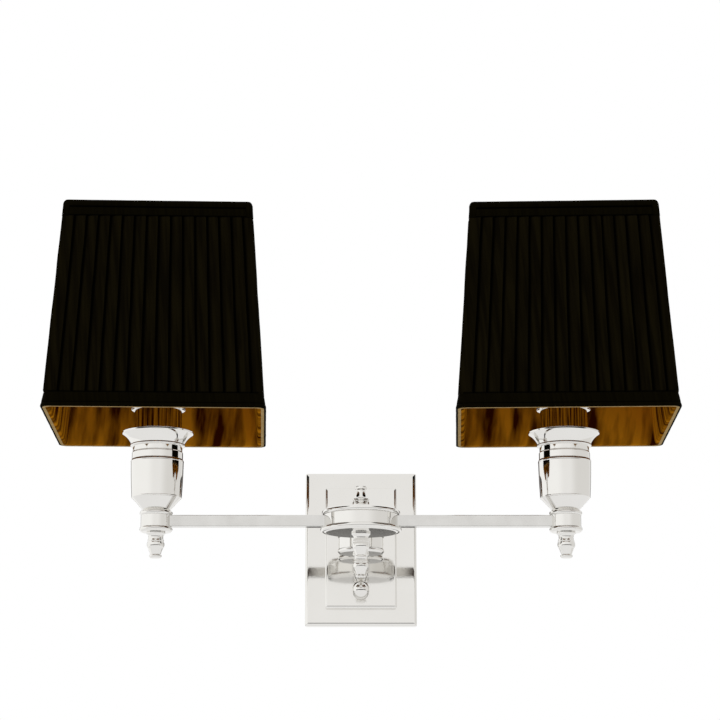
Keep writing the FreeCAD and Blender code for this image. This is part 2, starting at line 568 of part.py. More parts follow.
def pleated_wire(z):
    """The cover's outline at a height: knife pleats that rise and drop back at each fold."""
    crest, valley = half_size(z) - COVER_CREST, half_size(z) - COVER_VALLEY
    corner = half_size(z) - COVER_VALLEY
    pitch = 2 * corner / PLEATS_PER_SIDE
    fold = pitch * 0.12
    points = []
    for turn in range(4):
        spin = FreeCAD.Rotation(Z_AXIS, 90 * turn)
        for pleat in range(PLEATS_PER_SIDE):
            start = -corner + pleat * pitch
            points.append(spin.multVec(V(valley, start, z)))
            points.append(spin.multVec(V(crest, start + pitch - fold, z)))
    return Part.makePolygon(points + points[:1])


def shade_cover():
    """The pleated fabric cover, one closed skin round all four sides."""
    folded = Part.makeLoft([pleated_wire(SKIN_BOTTOM), pleated_wire(SKIN_TOP)], True, True)
    return folded.cut(frustum(COVER_INSIDE, SKIN_BOTTOM, SKIN_TOP))


def shade_lining():
    """The lining: four stiff panels with mitred edges, notched where the arm wires pass."""
    panels = []
    notches = [rod_between(bend, corner, ARM_WIRE_RADIUS + THREAD_FIT)
               for foot, bend, corner in arm_wire_corners()]
    for turn in range(4):
        wires = []
        for z in (SKIN_BOTTOM, SKIN_TOP):
            outer, inner = half_size(z) - LINING_OUTSIDE, half_size(z) - LINING_INSIDE
            wires.append(Part.makePolygon([V(outer, -outer, z), V(outer, outer, z),
                                           V(inner, inner, z), V(inner, -inner, z), V(outer, -outer, z)]))
        panel = Part.makeLoft(wires, True, True)
        panels.append(panel.rotated(ORIGIN, Z_AXIS, 90 * turn).cut(notches))
    return group(*panels)


def shade_band(edge_z, height, inward):
    """The binding round one edge: it covers both faces and turns over the edge.

    inward is +1 where the band rises from edge_z, and -1 where it hangs from it.
    """
    def level(rise):
        return edge_z + inward * rise

    def hem_flare(z):
        return HEM_FLARE * (level(height) - z) / height if inward > 0 else 0

    def skin(outer_inset, inner_inset, low, high, corner=0.0, flare=None):
        bottom, top = sorted((level(low), level(high)))
        return square_skin(outer_inset, inner_inset, bottom, top, corner, flare)

    outer_leg = skin(0, COVER_CREST, BAND_THICKNESS, height, BAND_CORNER, hem_flare)
    web = skin(0, BAND_INSIDE, 0, BAND_THICKNESS, BAND_CORNER, hem_flare)
    inner_leg = skin(LINING_INSIDE, BAND_INSIDE, BAND_THICKNESS, BAND_TURN_IN)
    return outer_leg.fuse([web, inner_leg]).removeSplitter()


def rod_between(start, end, radius):
    return Part.makeCylinder(radius, (end - start).Length, start, end - start)


def shade_frame():
    """The wire frame between cover and lining: two squares joined by four corner ribs."""
    inset = COVER_INSIDE + FRAME_WIRE_RADIUS
    low, high = SKIN_BOTTOM + FRAME_WIRE_RADIUS, SKIN_TOP - FRAME_WIRE_RADIUS
    corners = {z: [V(sx * (half_size(z) - inset), sy * (half_size(z) - inset), z)
                   for sx, sy in ((1, 1), (-1, 1), (-1, -1), (1, -1))] for z in (low, high)}
    wires = []
    for i in range(4):
        wires.append(rod_between(corners[low][i], corners[high][i], FRAME_WIRE_RADIUS))
        for z in (low, high):
            wires.append(rod_between(corners[z][i], corners[z][(i + 1) % 4], FRAME_WIRE_RADIUS))
            wires.append(Part.makeSphere(FRAME_WIRE_RADIUS, corners[z][i]))
    return wires[0].fuse(wires[1:])


def arm_wire_corners():
    """Each arm wire's three points: on the carrier ring, at its bend and at a corner rib."""
    z_bend = CARRIER_TOP + ARM_WIRE_STUB
    z_high = z_bend + ARM_WIRE_RISE
    near = (SHADE_NUT_RADIUS + ARM_WIRE_GAP + ARM_WIRE_RADIUS) * math.sqrt(0.5)
    far = half_size(z_high) - COVER_INSIDE - FRAME_WIRE_RADIUS
    return [(V(sx * near, sy * near, CARRIER_TOP), V(sx * near, sy * near, z_bend),
             V(sx * far, sy * far, z_high)) for sx, sy in ((1, 1), (-1, 1), (-1, -1), (1, -1))]


def carrier_arms():
    """Four arm wires that stand on the carrier ring and bend out to the corner ribs."""
    frame = shade_frame()
    arms = []
    for foot, bend, corner in arm_wire_corners():
        arm = rod_between(foot, bend, ARM_WIRE_RADIUS)
        arm = arm.fuse([Part.makeSphere(ARM_WIRE_RADIUS, bend), rod_between(bend, corner, ARM_WIRE_RADIUS)])
        arms.append(max(arm.cut(frame).Solids, key=lambda solid: solid.Volume))
    return group(*arms)


def carrier_ring():
    """The flat ring that sits on the sleeve's flange, round the lampholder."""
    return tube(CARRIER_RADIUS, LAMPHOLDER_RADIUS + CARRIER_BORE_CLEARANCE, CARRIER_BOTTOM, CARRIER_TOP)


def shade_nut():
    """The threaded ring that clamps the carrier ring, fluted for the fingers."""
    bottom = CARRIER_TOP + SEAT_GAP
    top = bottom + SHADE_NUT_HEIGHT
    nut = tube(SHADE_NUT_RADIUS, LAMPHOLDER_RADIUS + THREAD_FIT, bottom, top)
    flutes = []
    for i in range(SHADE_NUT_FLUTES):
        angle = 2 * math.pi * i / SHADE_NUT_FLUTES
        x, y = SHADE_NUT_RADIUS * math.cos(angle), SHADE_NUT_RADIUS * math.sin(angle)
        flutes.append(upright(1.0, bottom + 1.0, top, x, y))
    return nut.cut(flutes)


# ---- The lamp, node by node ----
def on_right_holder(shape, turn=0.0):
    return shape.rotated(ORIGIN, Z_AXIS, turn).translated(V(ARM_REACH, ARM_Y, 0))


def mirrored(shape):
    return shape.mirror(ORIGIN, X_AXIS)


def all_nodes():
    at_drum, at_knuckle = V(0, ARM_Y, 0), V(0, KNUCKLE_Y, 0)
    rod_bore = ROD_RADIUS + THREAD_FIT
    nodes = {
        "wall_bracket": wall_bracket(),
        "bracket_studs": bracket_studs(),
        "wall_plate": wall_plate(),
        "plate_panel": plate_panel(),
        "ball_nuts": ball_nuts(),
        "terminal_block": terminal_block(),
        "terminal_screws": terminal_screws(),
        "earth_screw": earth_screw(),
        "stem_washer": stem_washer(),
        "stem_nut": stem_nut(),
        "stem_tube": stem_tube(),
        "wall_boss": wall_boss(),
        "knuckle_yoke": knuckle_yoke(),
        "knuckle_barrel": knuckle_barrel(),
        "knuckle_rod": hub_rod(KNUCKLE_HALF).translated(at_knuckle),
        "knuckle_top_finial": top_finial(rod_bore, FINIAL_TOP_DEPTH, KNUCKLE_HALF).translated(at_knuckle),
        "knuckle_bottom_finial":
            spindle_finial(rod_bore, FINIAL_ROD_DEPTH, -KNUCKLE_HALF).translated(at_knuckle),
        "forward_bar": forward_bar(),
        "drum_body": drum_body(),
        "drum_top_cap": drum_cap(1, DRUM_TOP_RIM_RADIUS),
        "drum_bottom_cap": drum_cap(-1, DRUM_BOTTOM_RIM_RADIUS),
        "drum_splices": drum_splices(),
        "drum_rod": hub_rod(DRUM_HALF).translated(at_drum),
        "drum_top_finial": top_finial(rod_bore, FINIAL_TOP_DEPTH, DRUM_HALF).translated(at_drum),
        "drum_bottom_finial": spindle_finial(rod_bore, FINIAL_ROD_DEPTH, -DRUM_HALF).translated(at_drum),
    }
    holder_finial = spindle_finial(TUBE_RADIUS + THREAD_FIT, FINIAL_TUBE_DEPTH, -COLLAR_HALF)
    right_side = {
        "arm_bar": right_arm_bar(),
        "collar": on_right_holder(collar()),
        "holder_finial": on_right_holder(holder_finial),
        "lamp_tube": on_right_holder(lamp_tube()),
        "cup": on_right_holder(cup()),
        "candle_sleeve": on_right_holder(candle_sleeve()),
        "lampholder": on_right_holder(lampholder()),
        "socket_shell": on_right_holder(socket_shell()),
        "socket_contact": on_right_holder(socket_contact()),
        "shade_nut": on_right_holder(shade_nut()),
        "carrier_ring": on_right_holder(carrier_ring()),
        "carrier_arms": on_right_holder(carrier_arms(), -SHADE_TURN),
        "shade_frame": on_right_holder(shade_frame(), -SHADE_TURN),
        "shade_lining": on_right_holder(shade_lining(), -SHADE_TURN),
        "shade_cover": on_right_holder(shade_cover(), -SHADE_TURN),
        "shade_top_band": on_right_holder(shade_band(SHADE_TOP, TOP_BAND_HEIGHT, -1), -SHADE_TURN),
        "shade_bottom_band": on_right_holder(shade_band(SHADE_BOTTOM, BOTTOM_BAND_HEIGHT, 1), -SHADE_TURN),
    }
    for name, shape in right_side.items():
        nodes[name + "_right"] = shape
        nodes[name + "_left"] = mirrored(shape)
    right_cup_nut = on_right_holder(cup_nut())
    nodes["cup_nuts"] = group(right_cup_nut, mirrored(right_cup_nut))
    return nodes


os.makedirs("parts", exist_ok=True)
for name, shape in all_nodes().items():
    assert shape.isValid(), name
    shape.exportStep("parts/" + name + ".step")
    print(name, len(shape.Solids), round(shape.Volume, 1))
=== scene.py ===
import math

import bmesh
import bpy
from mathutils import Matrix, Vector, noise

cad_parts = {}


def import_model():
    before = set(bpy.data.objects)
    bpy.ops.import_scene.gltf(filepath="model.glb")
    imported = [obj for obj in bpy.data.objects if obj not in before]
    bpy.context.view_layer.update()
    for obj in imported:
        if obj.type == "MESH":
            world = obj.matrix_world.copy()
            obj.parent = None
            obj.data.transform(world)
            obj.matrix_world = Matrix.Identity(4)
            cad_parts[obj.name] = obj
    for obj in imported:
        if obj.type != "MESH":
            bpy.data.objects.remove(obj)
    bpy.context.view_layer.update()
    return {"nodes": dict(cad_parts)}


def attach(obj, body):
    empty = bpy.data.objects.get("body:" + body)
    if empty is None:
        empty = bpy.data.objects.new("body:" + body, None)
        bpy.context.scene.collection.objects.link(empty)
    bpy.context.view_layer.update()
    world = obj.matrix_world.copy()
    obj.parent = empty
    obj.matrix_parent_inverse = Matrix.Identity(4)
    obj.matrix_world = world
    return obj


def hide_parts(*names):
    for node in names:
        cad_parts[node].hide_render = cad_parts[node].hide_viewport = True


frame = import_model()
bpy.context.scene.view_settings.view_transform = "Standard"


# ---- Viewpoint ----
# The lamp is seen from below its arms, as on a wall above eye height: the camera stands
# straight in front, two metres off, and looks up at it.
MM = 0.001
LENS_PIXELS, PICTURE_WIDTH, SENSOR_WIDTH = 2180, 720, 36.0
CAMERA_AT, CAMERA_TILT = (-0.8, -1964.0, -265.5), 12.7


def new_object(name, data):
    """A new object in the scene, at the origin."""
    made = bpy.data.objects.new(name, data)
    bpy.context.scene.collection.objects.link(made)
    return made


camera = new_object("camera", bpy.data.cameras.new("camera"))
camera.data.sensor_width = SENSOR_WIDTH
camera.data.lens = LENS_PIXELS / PICTURE_WIDTH * SENSOR_WIDTH
camera.location = Vector(CAMERA_AT) * MM
camera.rotation_euler = (math.radians(90 + CAMERA_TILT), 0, 0)
bpy.context.scene.camera = camera


# ---- Studio ----
# A pale floor well below the lamp, a white surround, and two large soft lights in front.
# What shines sees the surround at full white, while matt surfaces get a gentler light.
SIDES = {"left": -1, "right": 1}
FLOOR_Z, FLOOR_SIZE = -0.9, 5.0
FLOOR_COLOUR, FLOOR_GLOW = (0.8, 0.8, 0.8, 1), 0.85
SURROUND_LIGHT = 0.5
STUDIO_LEFT, STUDIO_WHITE, STUDIO_RIGHT = (1.05, 1.05, 1.04), (0.95, 0.945, 0.935), (0.80, 0.79, 0.77)
STUDIO_BLACK, STUDIO_BROWN = (0.006, 0.005, 0.004), (0.05, 0.033, 0.024)
LEFT_EDGE, RIGHT_EDGE, FRONT_EDGE, BACK_EDGE = (-0.7, -0.1), (0.25, 0.85), (-0.5, -0.2), (0.84, 0.93)
LOW_START, LOW_END = (-0.36, -0.28), (-0.16, -0.10)
BACK_START, BACK_END = (0.0, 0.08), (0.24, 0.32)
LIGHT_AT, LIGHT_AIM, LIGHT_SIZE, LIGHT_POWER = (1.5, -1.7, 0.75), (0, -0.15, 0.05), 1.1, 5


def new_material(name):
    """An empty node material: itself, its node tree and the socket that takes its surface."""
    material = bpy.data.materials.new(name)
    material.use_nodes = True
    tree = material.node_tree
    tree.nodes.clear()
    return material, tree, tree.nodes.new("ShaderNodeOutputMaterial").inputs["Surface"]


def add(tree, kind, inputs=None, output=0, **settings):
    """Adds a node with these settings and inputs, each a plain value or another node's output,
    and gives back the output that is asked for."""
    node = tree.nodes.new(kind)
    for name, value in settings.items():
        setattr(node, name, value)
    for socket, value in (inputs or {}).items():
        if isinstance(value, bpy.types.NodeSocket):
            tree.links.new(value, node.inputs[socket])
        else:
            node.inputs[socket].default_value = value
    return node.outputs[output]


def reckon(tree, operation, *values):
    """A sum on plain numbers and other nodes' outputs."""
    return add(tree, "ShaderNodeMath", dict(enumerate(values)), operation=operation)


def ranged(tree, source, low, high, start=0.0, end=1.0, ramp="LINEAR"):
    """Spreads a value that runs from start to end between low and high."""
    inputs = {"Value": source, "From Min": start, "From Max": end, "To Min": low, "To Max": high}
    return add(tree, "ShaderNodeMapRange", inputs, interpolation_type=ramp)


def between(tree, mask, *colours):
    """A colour that goes from the first to the second with a mask."""
    first, second = [(*colour, 1) if isinstance(colour, tuple) else colour for colour in colours]
    return add(tree, "ShaderNodeMix", {"Factor": mask, "A": first, "B": second}, "Result", data_type="RGBA")


def split(tree, place):
    """The three parts of a place or direction."""
    node = tree.nodes.new("ShaderNodeSeparateXYZ")
    tree.links.new(place, node.inputs[0])
    return node.outputs


def seen_directly(tree):
    """1 where a camera, glossy or transmission ray arrives, and 0 for the light on matt surfaces."""
    path = tree.nodes.new("ShaderNodeLightPath").outputs
    seen = reckon(tree, "MAXIMUM", path["Is Camera Ray"], path["Is Glossy Ray"])
    return reckon(tree, "MAXIMUM", seen, path["Is Transmission Ray"])


def make_floor():
    mesh = bpy.data.meshes.new("floor")
    reach = FLOOR_SIZE / 2
    outline = ((-reach, -reach), (reach, -reach), (reach, reach), (-reach, reach))
    mesh.from_pydata([(x, y, FLOOR_Z) for x, y in outline], [], [(0, 1, 2, 3)])
    material, tree, surface = new_material("pale_floor")
    matt = add(tree, "ShaderNodeBsdfDiffuse", {"Color": FLOOR_COLOUR})
    white = add(tree, "ShaderNodeEmission")
    glow = reckon(tree, "MULTIPLY", seen_directly(tree), FLOOR_GLOW)
    tree.links.new(add(tree, "ShaderNodeMixShader", {0: glow, 1: matt, 2: white}), surface)
    mesh.materials.append(material)
    floor = new_object("floor", mesh)


def make_surround():
    """White all round. What shines sees it brighter on the left and greyer on the right, black in a
    low band in front, and brown behind the lamp."""
    world = bpy.data.worlds.new("surround")
    world.use_nodes = True
    tree = world.node_tree
    light = tree.nodes["Background"].inputs
    x, y, z = split(tree, add(tree, "ShaderNodeTexCoord", output="Generated"))

    def past(part, edge):
        return ranged(tree, part, 0, 1, *edge, ramp="SMOOTHSTEP")

    def before(part, edge):
        return ranged(tree, part, 1, 0, *edge, ramp="SMOOTHSTEP")

    def both(first, second):
        return reckon(tree, "MULTIPLY", first, second)

    low_front = both(both(past(z, LOW_START), before(z, LOW_END)), before(y, FRONT_EDGE))
    behind = both(both(past(z, BACK_START), before(z, BACK_END)), past(y, BACK_EDGE))
    mirrored = between(tree, past(x, LEFT_EDGE), STUDIO_LEFT, STUDIO_WHITE)
    mirrored = between(tree, past(x, RIGHT_EDGE), mirrored, STUDIO_RIGHT)
    mirrored = between(tree, behind, mirrored, STUDIO_BROWN)
    mirrored = between(tree, low_front, mirrored, STUDIO_BLACK)
    glossy = add(tree, "ShaderNodeLightPath", output="Is Glossy Ray")
    tree.links.new(between(tree, glossy, (1, 1, 1), mirrored), light["Color"])
    tree.links.new(ranged(tree, seen_directly(tree), SURROUND_LIGHT, 1.0), light["Strength"])
    bpy.context.scene.world = world


def make_soft_light(name, sign):
    data = bpy.data.lights.new(name, "AREA")
    data.shape = "SQUARE"
    data.size = LIGHT_SIZE
    data.energy = LIGHT_POWER
    lamp = new_object(name, data)
    lamp.visible_glossy = False
    lamp.location = (sign * LIGHT_AT[0], *LIGHT_AT[1:])
    lamp.rotation_euler = (Vector(LIGHT_AIM) - lamp.location).to_track_quat("-Z", "Y").to_euler()


make_floor()
make_surround()
for side, sign in SIDES.items():
    make_soft_light(f"soft_light_{side}", sign)


# ---- Wall plate and raised panel ----
# Two pans pressed from brass sheet, the smaller seated on the larger, polished and
# nickel-plated. Their front edges are rolled round, which is where they catch the light.
PLATE_SIZE, PLATE_DEPTH = (100.0, 138.0), 11.0
PANEL_SIZE, PANEL_RISE = (64.0, 108.0), 9.0
PLATE_EDGE, PANEL_EDGE = 2.8, 2.0
ROLL_WIDE, ROLL_DEEP, ROLL_STEPS = 1.2, 0.7, 12       # of the edge: flatter towards the face
SHEET, SHEET_CORNER, LEAST_CORNER = 1.5, 1.6, 0.12
PANEL_SEAT, INSIDE_EDGE = 1.5, 0.2
HOLD = 0.15                   # how near to an edge its flats are held flat
WELD = 0.001                  # points nearer than this are one
SMOOTH_ANGLE = math.radians(30)


def new_group(name, kind, inputs, outputs):
    """An empty node group with these sockets: its tree, what it is given and what it puts out."""
    tree = bpy.data.node_groups.new(name, kind)
    for way, sockets in (("INPUT", inputs), ("OUTPUT", outputs)):
        for socket, value in sockets.items():
            tree.interface.new_socket(socket, in_out=way, socket_type=f"NodeSocket{value}")
    return tree, tree.nodes.new("NodeGroupInput").outputs, tree.nodes.new("NodeGroupOutput").inputs


def polish_marks():
    """Hairline scratches and faint smears of a hand-buffed surface, from a place on the piece."""
    tree, given, made = new_group("polish_marks", "ShaderNodeTree",
                                  {"Place": "Vector", "Smear Scale": "Float", "Scratch Scale": "Float"},
                                  {"Smear": "Float", "Scratch": "Float"})
    place = given["Place"]
    smear = add(tree, "ShaderNodeTexNoise", {"Vector": place, "Scale": given["Smear Scale"], "Detail": 4})
    bent = add(tree, "ShaderNodeTexNoise", {"Vector": place, "Scale": 60}, "Color")
    drawn = add(tree, "ShaderNodeMapping", {"Vector": place, "Rotation": bent, "Scale": (1, 1, 0.06)})
    hair = add(tree, "ShaderNodeTexNoise", {"Vector": drawn, "Scale": given["Scratch Scale"], "Detail": 2})
    tree.links.new(smear, made["Smear"])
    tree.links.new(ranged(tree, hair, 0, 1, 0.62, 0.75), made["Scratch"])
    return tree


def placed_group(tree, group, **values):
    """The outputs of a node group in a material, at Object coordinates and with these values."""
    node = tree.nodes.new("ShaderNodeGroup")
    node.node_tree = group
    tree.links.new(add(tree, "ShaderNodeTexCoord", output="Object"), node.inputs["Place"])
    for name, value in values.items():
        node.inputs[name.replace("_", " ")].default_value = value
    return node.outputs


def raised(tree, height, strength, depth):
    """A bumped normal from a height."""
    return add(tree, "ShaderNodeBump", {"Height": height, "Strength": strength, "Distance": depth})


def worn_material(name, bright, dull, roughness, scales, bump, metallic=1.0, lifted="Scratch"):
    """A finish whose colour and roughness change with its smears. Its scratches or smears stand up
    a little: bump is their strength and depth, scales are those of the smears and scratches."""
    material, tree, surface = new_material(name)
    worn = placed_group(tree, marks, Smear_Scale=scales[0], Scratch_Scale=scales[1])
    shader = add(tree, "ShaderNodeBsdfPrincipled", {
        "Base Color": between(tree, worn["Smear"], bright, dull),
        "Metallic": metallic,
        "Roughness": ranged(tree, worn["Smear"], *roughness),
        "Normal": raised(tree, worn[lifted], *bump)})
    tree.links.new(shader, surface)
    return material


def move(bm, offset, turned_by=Matrix.Identity(4)):
    """Puts a shape that was made at the origin in its place, given in millimetres."""
    bmesh.ops.transform(bm, matrix=Matrix.Translation(Vector(offset) * MM) @ turned_by, verts=bm.verts)


def shaped(name, bm, material):
    """A shape as a piece: smooth, with its sharp edges kept."""
    mesh = bpy.data.meshes.new(name)
    bm.to_mesh(mesh)
    bm.free()
    mesh.shade_smooth()
    mesh.set_sharp_from_angle(angle=SMOOTH_ANGLE)
    mesh.materials.append(material)
    return new_object(name, mesh)


def mesh_piece(name, build, material, at=(0, 0, 0), facing=Matrix.Identity(4)):
    """A piece that build(bm) makes, put in its place, closed and with its faces outwards."""
    bm = bmesh.new()
    build(bm)
    move(bm, at, facing)
    bmesh.ops.remove_doubles(bm, verts=bm.verts, dist=WELD * MM)
    bmesh.ops.recalc_face_normals(bm, faces=bm.faces)
    return shaped(name, bm, material)


def fitted(piece, body, slot, *nodes):
    """Puts a finished piece on its body in place of these CAD nodes. Its slot is not used."""
    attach(piece, body)
    if nodes:
        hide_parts(*nodes)
    return piece


def skin_loops(bm, loops, closed_across):
    """Joins loops of equally many points into a skin. Each loop is closed along itself."""
    rows = [[bm.verts.new(point) for point in loop] for loop in loops]
    pairs = list(zip(rows, rows[1:] + rows[:1])) if closed_across else list(zip(rows, rows[1:]))
    for first, second in pairs:
        for i in range(len(first)):
            j = (i + 1) % len(first)
            bm.faces.new((first[i], first[j], second[j], second[i]))
    return rows

def closed_loops(bm, loops):
    """A skin through these loops with both its ends closed."""
    rows = skin_loops(bm, loops, False)
    bm.faces.new(rows[0])
    bm.faces.new(rows[-1])


def rectangle_path(half_u, half_v, corner, bend=6):
    """Points round a rectangle with rounded corners, with a holding point where each straight side begins."""
    points = []
    hold = min(HOLD, half_u / 4, half_v / 4)
    for turn, (su, sv) in enumerate(((1, 1), (-1, 1), (-1, -1), (1, -1))):
        cu, cv = su * (half_u - corner), sv * (half_v - corner)
        arc = []
        for step in range(bend + 1):
            angle = math.radians(90 * turn + 90 * step / bend)
            arc.append((cu + corner * math.cos(angle), cv + corner * math.sin(angle)))
        first, last = math.radians(90 * turn), math.radians(90 * turn + 90)
        before = (arc[0][0] + hold * math.sin(first), arc[0][1] - hold * math.cos(first))
        after = (arc[-1][0] - hold * math.sin(last), arc[-1][1] + hold * math.cos(last))
        points += [before, *arc, after]
    return points


def pan_profile(depth, edge, window):
    """A pan's section as (inset, depth) points, in two runs: from the wall edge round the rolled edge
    to the face, and back down the inside. With a window, its face ends that far in."""
    wide, deep = edge * ROLL_WIDE, edge * ROLL_DEEP
    outer = [(0.0, 0.0), (0.0, HOLD), (0.0, depth - deep - HOLD)]
    for step in range(ROLL_STEPS + 1):
        angle = math.radians(90 * step / ROLL_STEPS)
        outer.append((wide * (1 - math.cos(angle)), depth - deep * (1 - math.sin(angle))))
    outer.append((wide + HOLD, depth))
    face = depth - SHEET
    inner = [(SHEET + INSIDE_EDGE, face), (SHEET, face - INSIDE_EDGE), (SHEET, HOLD), (SHEET, 0.0)]
    if window:
        outer += [(window - HOLD, depth), (window, depth)]
        inner = [(window, face), (window - HOLD, face)] + inner
    return outer, inner


def pan(bm, size, back, depth, edge, window=None):
    """A sheet pan with its open side at back. With a window, its face is cut away that far in."""
    half_w, half_h = size[0] / 2, size[1] / 2

    def loop(inset, reach):
        outline = rectangle_path(half_w - inset, half_h - inset, max(SHEET_CORNER - inset, LEAST_CORNER))
        return [Vector((u, -(back + reach), v)) * MM for u, v in outline]

    outer, inner = [[loop(*point) for point in run] for run in pan_profile(depth, edge, window)]
    if window:
        skin_loops(bm, outer + inner, True)
        return
    front, inside = skin_loops(bm, outer, False), skin_loops(bm, inner, False)
    for i in range(len(front[0])):
        j = (i + 1) % len(front[0])
        bm.faces.new((front[0][i], front[0][j], inside[-1][j], inside[-1][i]))
    bm.faces.new(front[-1])
    bm.faces.new(inside[0])


marks = polish_marks()
nickel = worn_material("polished_nickel", (0.835, 0.825, 0.80), (0.80, 0.785, 0.755), (0.02, 0.075),
                       (38, 900), (0.05, 0.00002))
window_inset = (PLATE_SIZE[0] - PANEL_SIZE[0]) / 2 + SHEET + PANEL_SEAT
for name, node, shape in (
        ("plate_pan", "wall_plate", (PLATE_SIZE, 0, PLATE_DEPTH, PLATE_EDGE, window_inset)),
        ("plate_raised_panel", "plate_panel", (PANEL_SIZE, PLATE_DEPTH, PANEL_RISE, PANEL_EDGE))):
    fitted(mesh_piece(name, lambda bm: pan(bm, *shape), nickel), "wall_mount", "polished_nickel", node)


# ---- Ball nuts and boss on the panel ----
# Turned brass, nickel-plated: two ball nuts on the studs hold the plate to its bracket,
# and a small turned boss fills the corner between the panel and the knuckle's neck.
PANEL_FACE = PLATE_DEPTH + PANEL_RISE
NUT_SPACING = 76.0
BALL_RADIUS, BALL_NECK_RADIUS, BALL_NECK = 7.5, 4.4, 2.2
BOSS_RADIUS, BOSS_THICKNESS, NECK_RADIUS = 11.0, 2.5, 7.0
TURNED_EDGE, TURNED_SEGMENTS = 0.18, 144
SLIGHT_BEND = 8.0             # degrees: a corner that bends less stays as it is
LONGEST_CUT = 0.42            # of the straight beside a corner
TINY = 1e-6
FACING_OUT = Matrix.Rotation(math.radians(90), 4, "X")


def arc_points(start, middle, end, step_angle=5.0):
    """Points along the arc from start through middle to end, without start."""
    (ax, ay), (bx, by), (cx, cy) = start, middle, end
    cross = 2 * (ax * (by - cy) + bx * (cy - ay) + cx * (ay - by))
    if abs(cross) < TINY * MM:
        return [middle, end]
    aa, bb, cc = ax * ax + ay * ay, bx * bx + by * by, cx * cx + cy * cy
    ux = (aa * (by - cy) + bb * (cy - ay) + cc * (ay - by)) / cross
    uy = (aa * (cx - bx) + bb * (ax - cx) + cc * (bx - ax)) / cross
    first = math.atan2(ay - uy, ax - ux)
    sweep = math.atan2(cy - uy, cx - ux) - first
    half = math.atan2(by - uy, bx - ux) - first
    sweep, half = sweep % (2 * math.pi), half % (2 * math.pi)
    if half > sweep:
        sweep -= 2 * math.pi
    radius = math.hypot(ax - ux, ay - uy)
    count = max(3, round(abs(math.degrees(sweep)) / step_angle))
    angles = [first + sweep * i / count for i in range(1, count + 1)]
    return [(ux + radius * math.cos(angle), uy + radius * math.sin(angle)) for angle in angles]


def turned_outline(steps, edge):
    """A lathe outline as (r, z) points. A step ((r, z), (r, z)) is an arc through the first to the
    second point. Each corner is broken with a small round, and straight runs are held flat beside it."""
    rough, corners = [steps[0]], []
    for step in steps[1:]:
        corners.append(len(rough) - 1)
        if isinstance(step[0], tuple):
            rough += arc_points(rough[-1], step[0], step[1])
        else:
            rough.append(step)
    outline = [rough[0]]
    for i in range(1, len(rough) - 1):
        before, here, after = Vector(rough[i - 1]), Vector(rough[i]), Vector(rough[i + 1])
        back, on = before - here, after - here
        plain = i not in corners or min(back.length, on.length) < TINY
        if plain or abs(back.angle(-on)) < math.radians(SLIGHT_BEND):
            outline.append(rough[i])
            continue
        start = here + back.normalized() * min(edge, LONGEST_CUT * back.length)
        end = here + on.normalized() * min(edge, LONGEST_CUT * on.length)
        if back.length > 4 * edge:
            outline.append(tuple(start + back.normalized() * edge * 0.6))
        for t in (0.0, 0.2, 0.5, 0.8, 1.0):
            outline.append(tuple(start * (1 - t) ** 2 + here * 2 * t * (1 - t) + end * t ** 2))
        if on.length > 4 * edge:
            outline.append(tuple(end + on.normalized() * edge * 0.6))
    outline.append(rough[-1])
    return outline


def polar(radius, angle, z):
    """A point at this radius and angle round the upright axis, from millimetres."""
    return Vector((radius * math.cos(angle), radius * math.sin(angle), z)) * MM


def circle(radius, z, count):
    return [polar(radius, 2 * math.pi * i / count, z) for i in range(count)]


def turn(bm, steps, edge=TURNED_EDGE, segments=TURNED_SEGMENTS, closed=False):
    """Turns an outline about Z. Points on the axis become one pole each."""
    if closed:
        middle = tuple((Vector(steps[0]) + Vector(steps[1])) / 2)
        steps = [middle, *steps[1:], steps[0], middle]
    rings = []
    for radius, height in turned_outline(steps, edge):
        points = [Vector((0, 0, height)) * MM] if radius < TINY else circle(radius, height, segments)
        rings.append([bm.verts.new(point) for point in points])
    for low, high in zip(rings, rings[1:]):
        for i in range(segments):
            j = (i + 1) % segments
            corners = [low[i % len(low)], low[j % len(low)], high[j % len(high)], high[i % len(high)]]
            corners = list(dict.fromkeys(corners))
            if len(corners) > 2:
                bm.faces.new(corners)


def disc(bm, radius, low, high, **cut):
    """A plain turned disc between two heights."""
    turn(bm, [(0, low), (radius, low), (radius, high), (0, high)], **cut)


def ball_nut(bm):
    reach = math.sqrt(BALL_RADIUS ** 2 - BALL_NECK_RADIUS ** 2)
    middle, top = BALL_NECK + reach, BALL_NECK + reach + BALL_RADIUS
    turn(bm, [(0, 0), (BALL_NECK_RADIUS, 0), (BALL_NECK_RADIUS, BALL_NECK),
              ((BALL_RADIUS, middle), (0, top))])


def wall_boss(bm):
    lip = BOSS_THICKNESS * 0.4
    turn(bm, [(0, 0), (BOSS_RADIUS, 0), (BOSS_RADIUS, lip),
              ((NECK_RADIUS + (BOSS_RADIUS - NECK_RADIUS) * 0.6, lip + BOSS_THICKNESS * 0.18),
               (NECK_RADIUS + 0.5, BOSS_THICKNESS)), (0, BOSS_THICKNESS)])


def row_pattern():
    """A geometry tree that repeats a piece in a straight row."""
    tree, given, made = new_group("row_pattern", "GeometryNodeTree",
                                  {"Geometry": "Geometry", "Count": "Int", "First": "Vector",
                                   "Step": "Vector", "Finish": "Material"}, {"Geometry": "Geometry"})
    row = add(tree, "GeometryNodeMeshLine",
              {"Count": given["Count"], "Start Location": given["First"], "Offset": given["Step"]})
    copies = add(tree, "GeometryNodeInstanceOnPoints", {"Points": row, "Instance": given["Geometry"]})
    real = add(tree, "GeometryNodeRealizeInstances", {0: copies})
    finished = add(tree, "GeometryNodeSetMaterial", {"Geometry": real, "Material": given["Finish"]})
    tree.links.new(finished, made["Geometry"])
    return tree


def plain_mesh(made):
    """An object's mesh or curve with its modifiers worked out, as a plain mesh of its name."""
    bpy.context.view_layer.update()
    mesh = bpy.data.meshes.new_from_object(made.evaluated_get(bpy.context.evaluated_depsgraph_get()))
    mesh.name = made.name
    return mesh


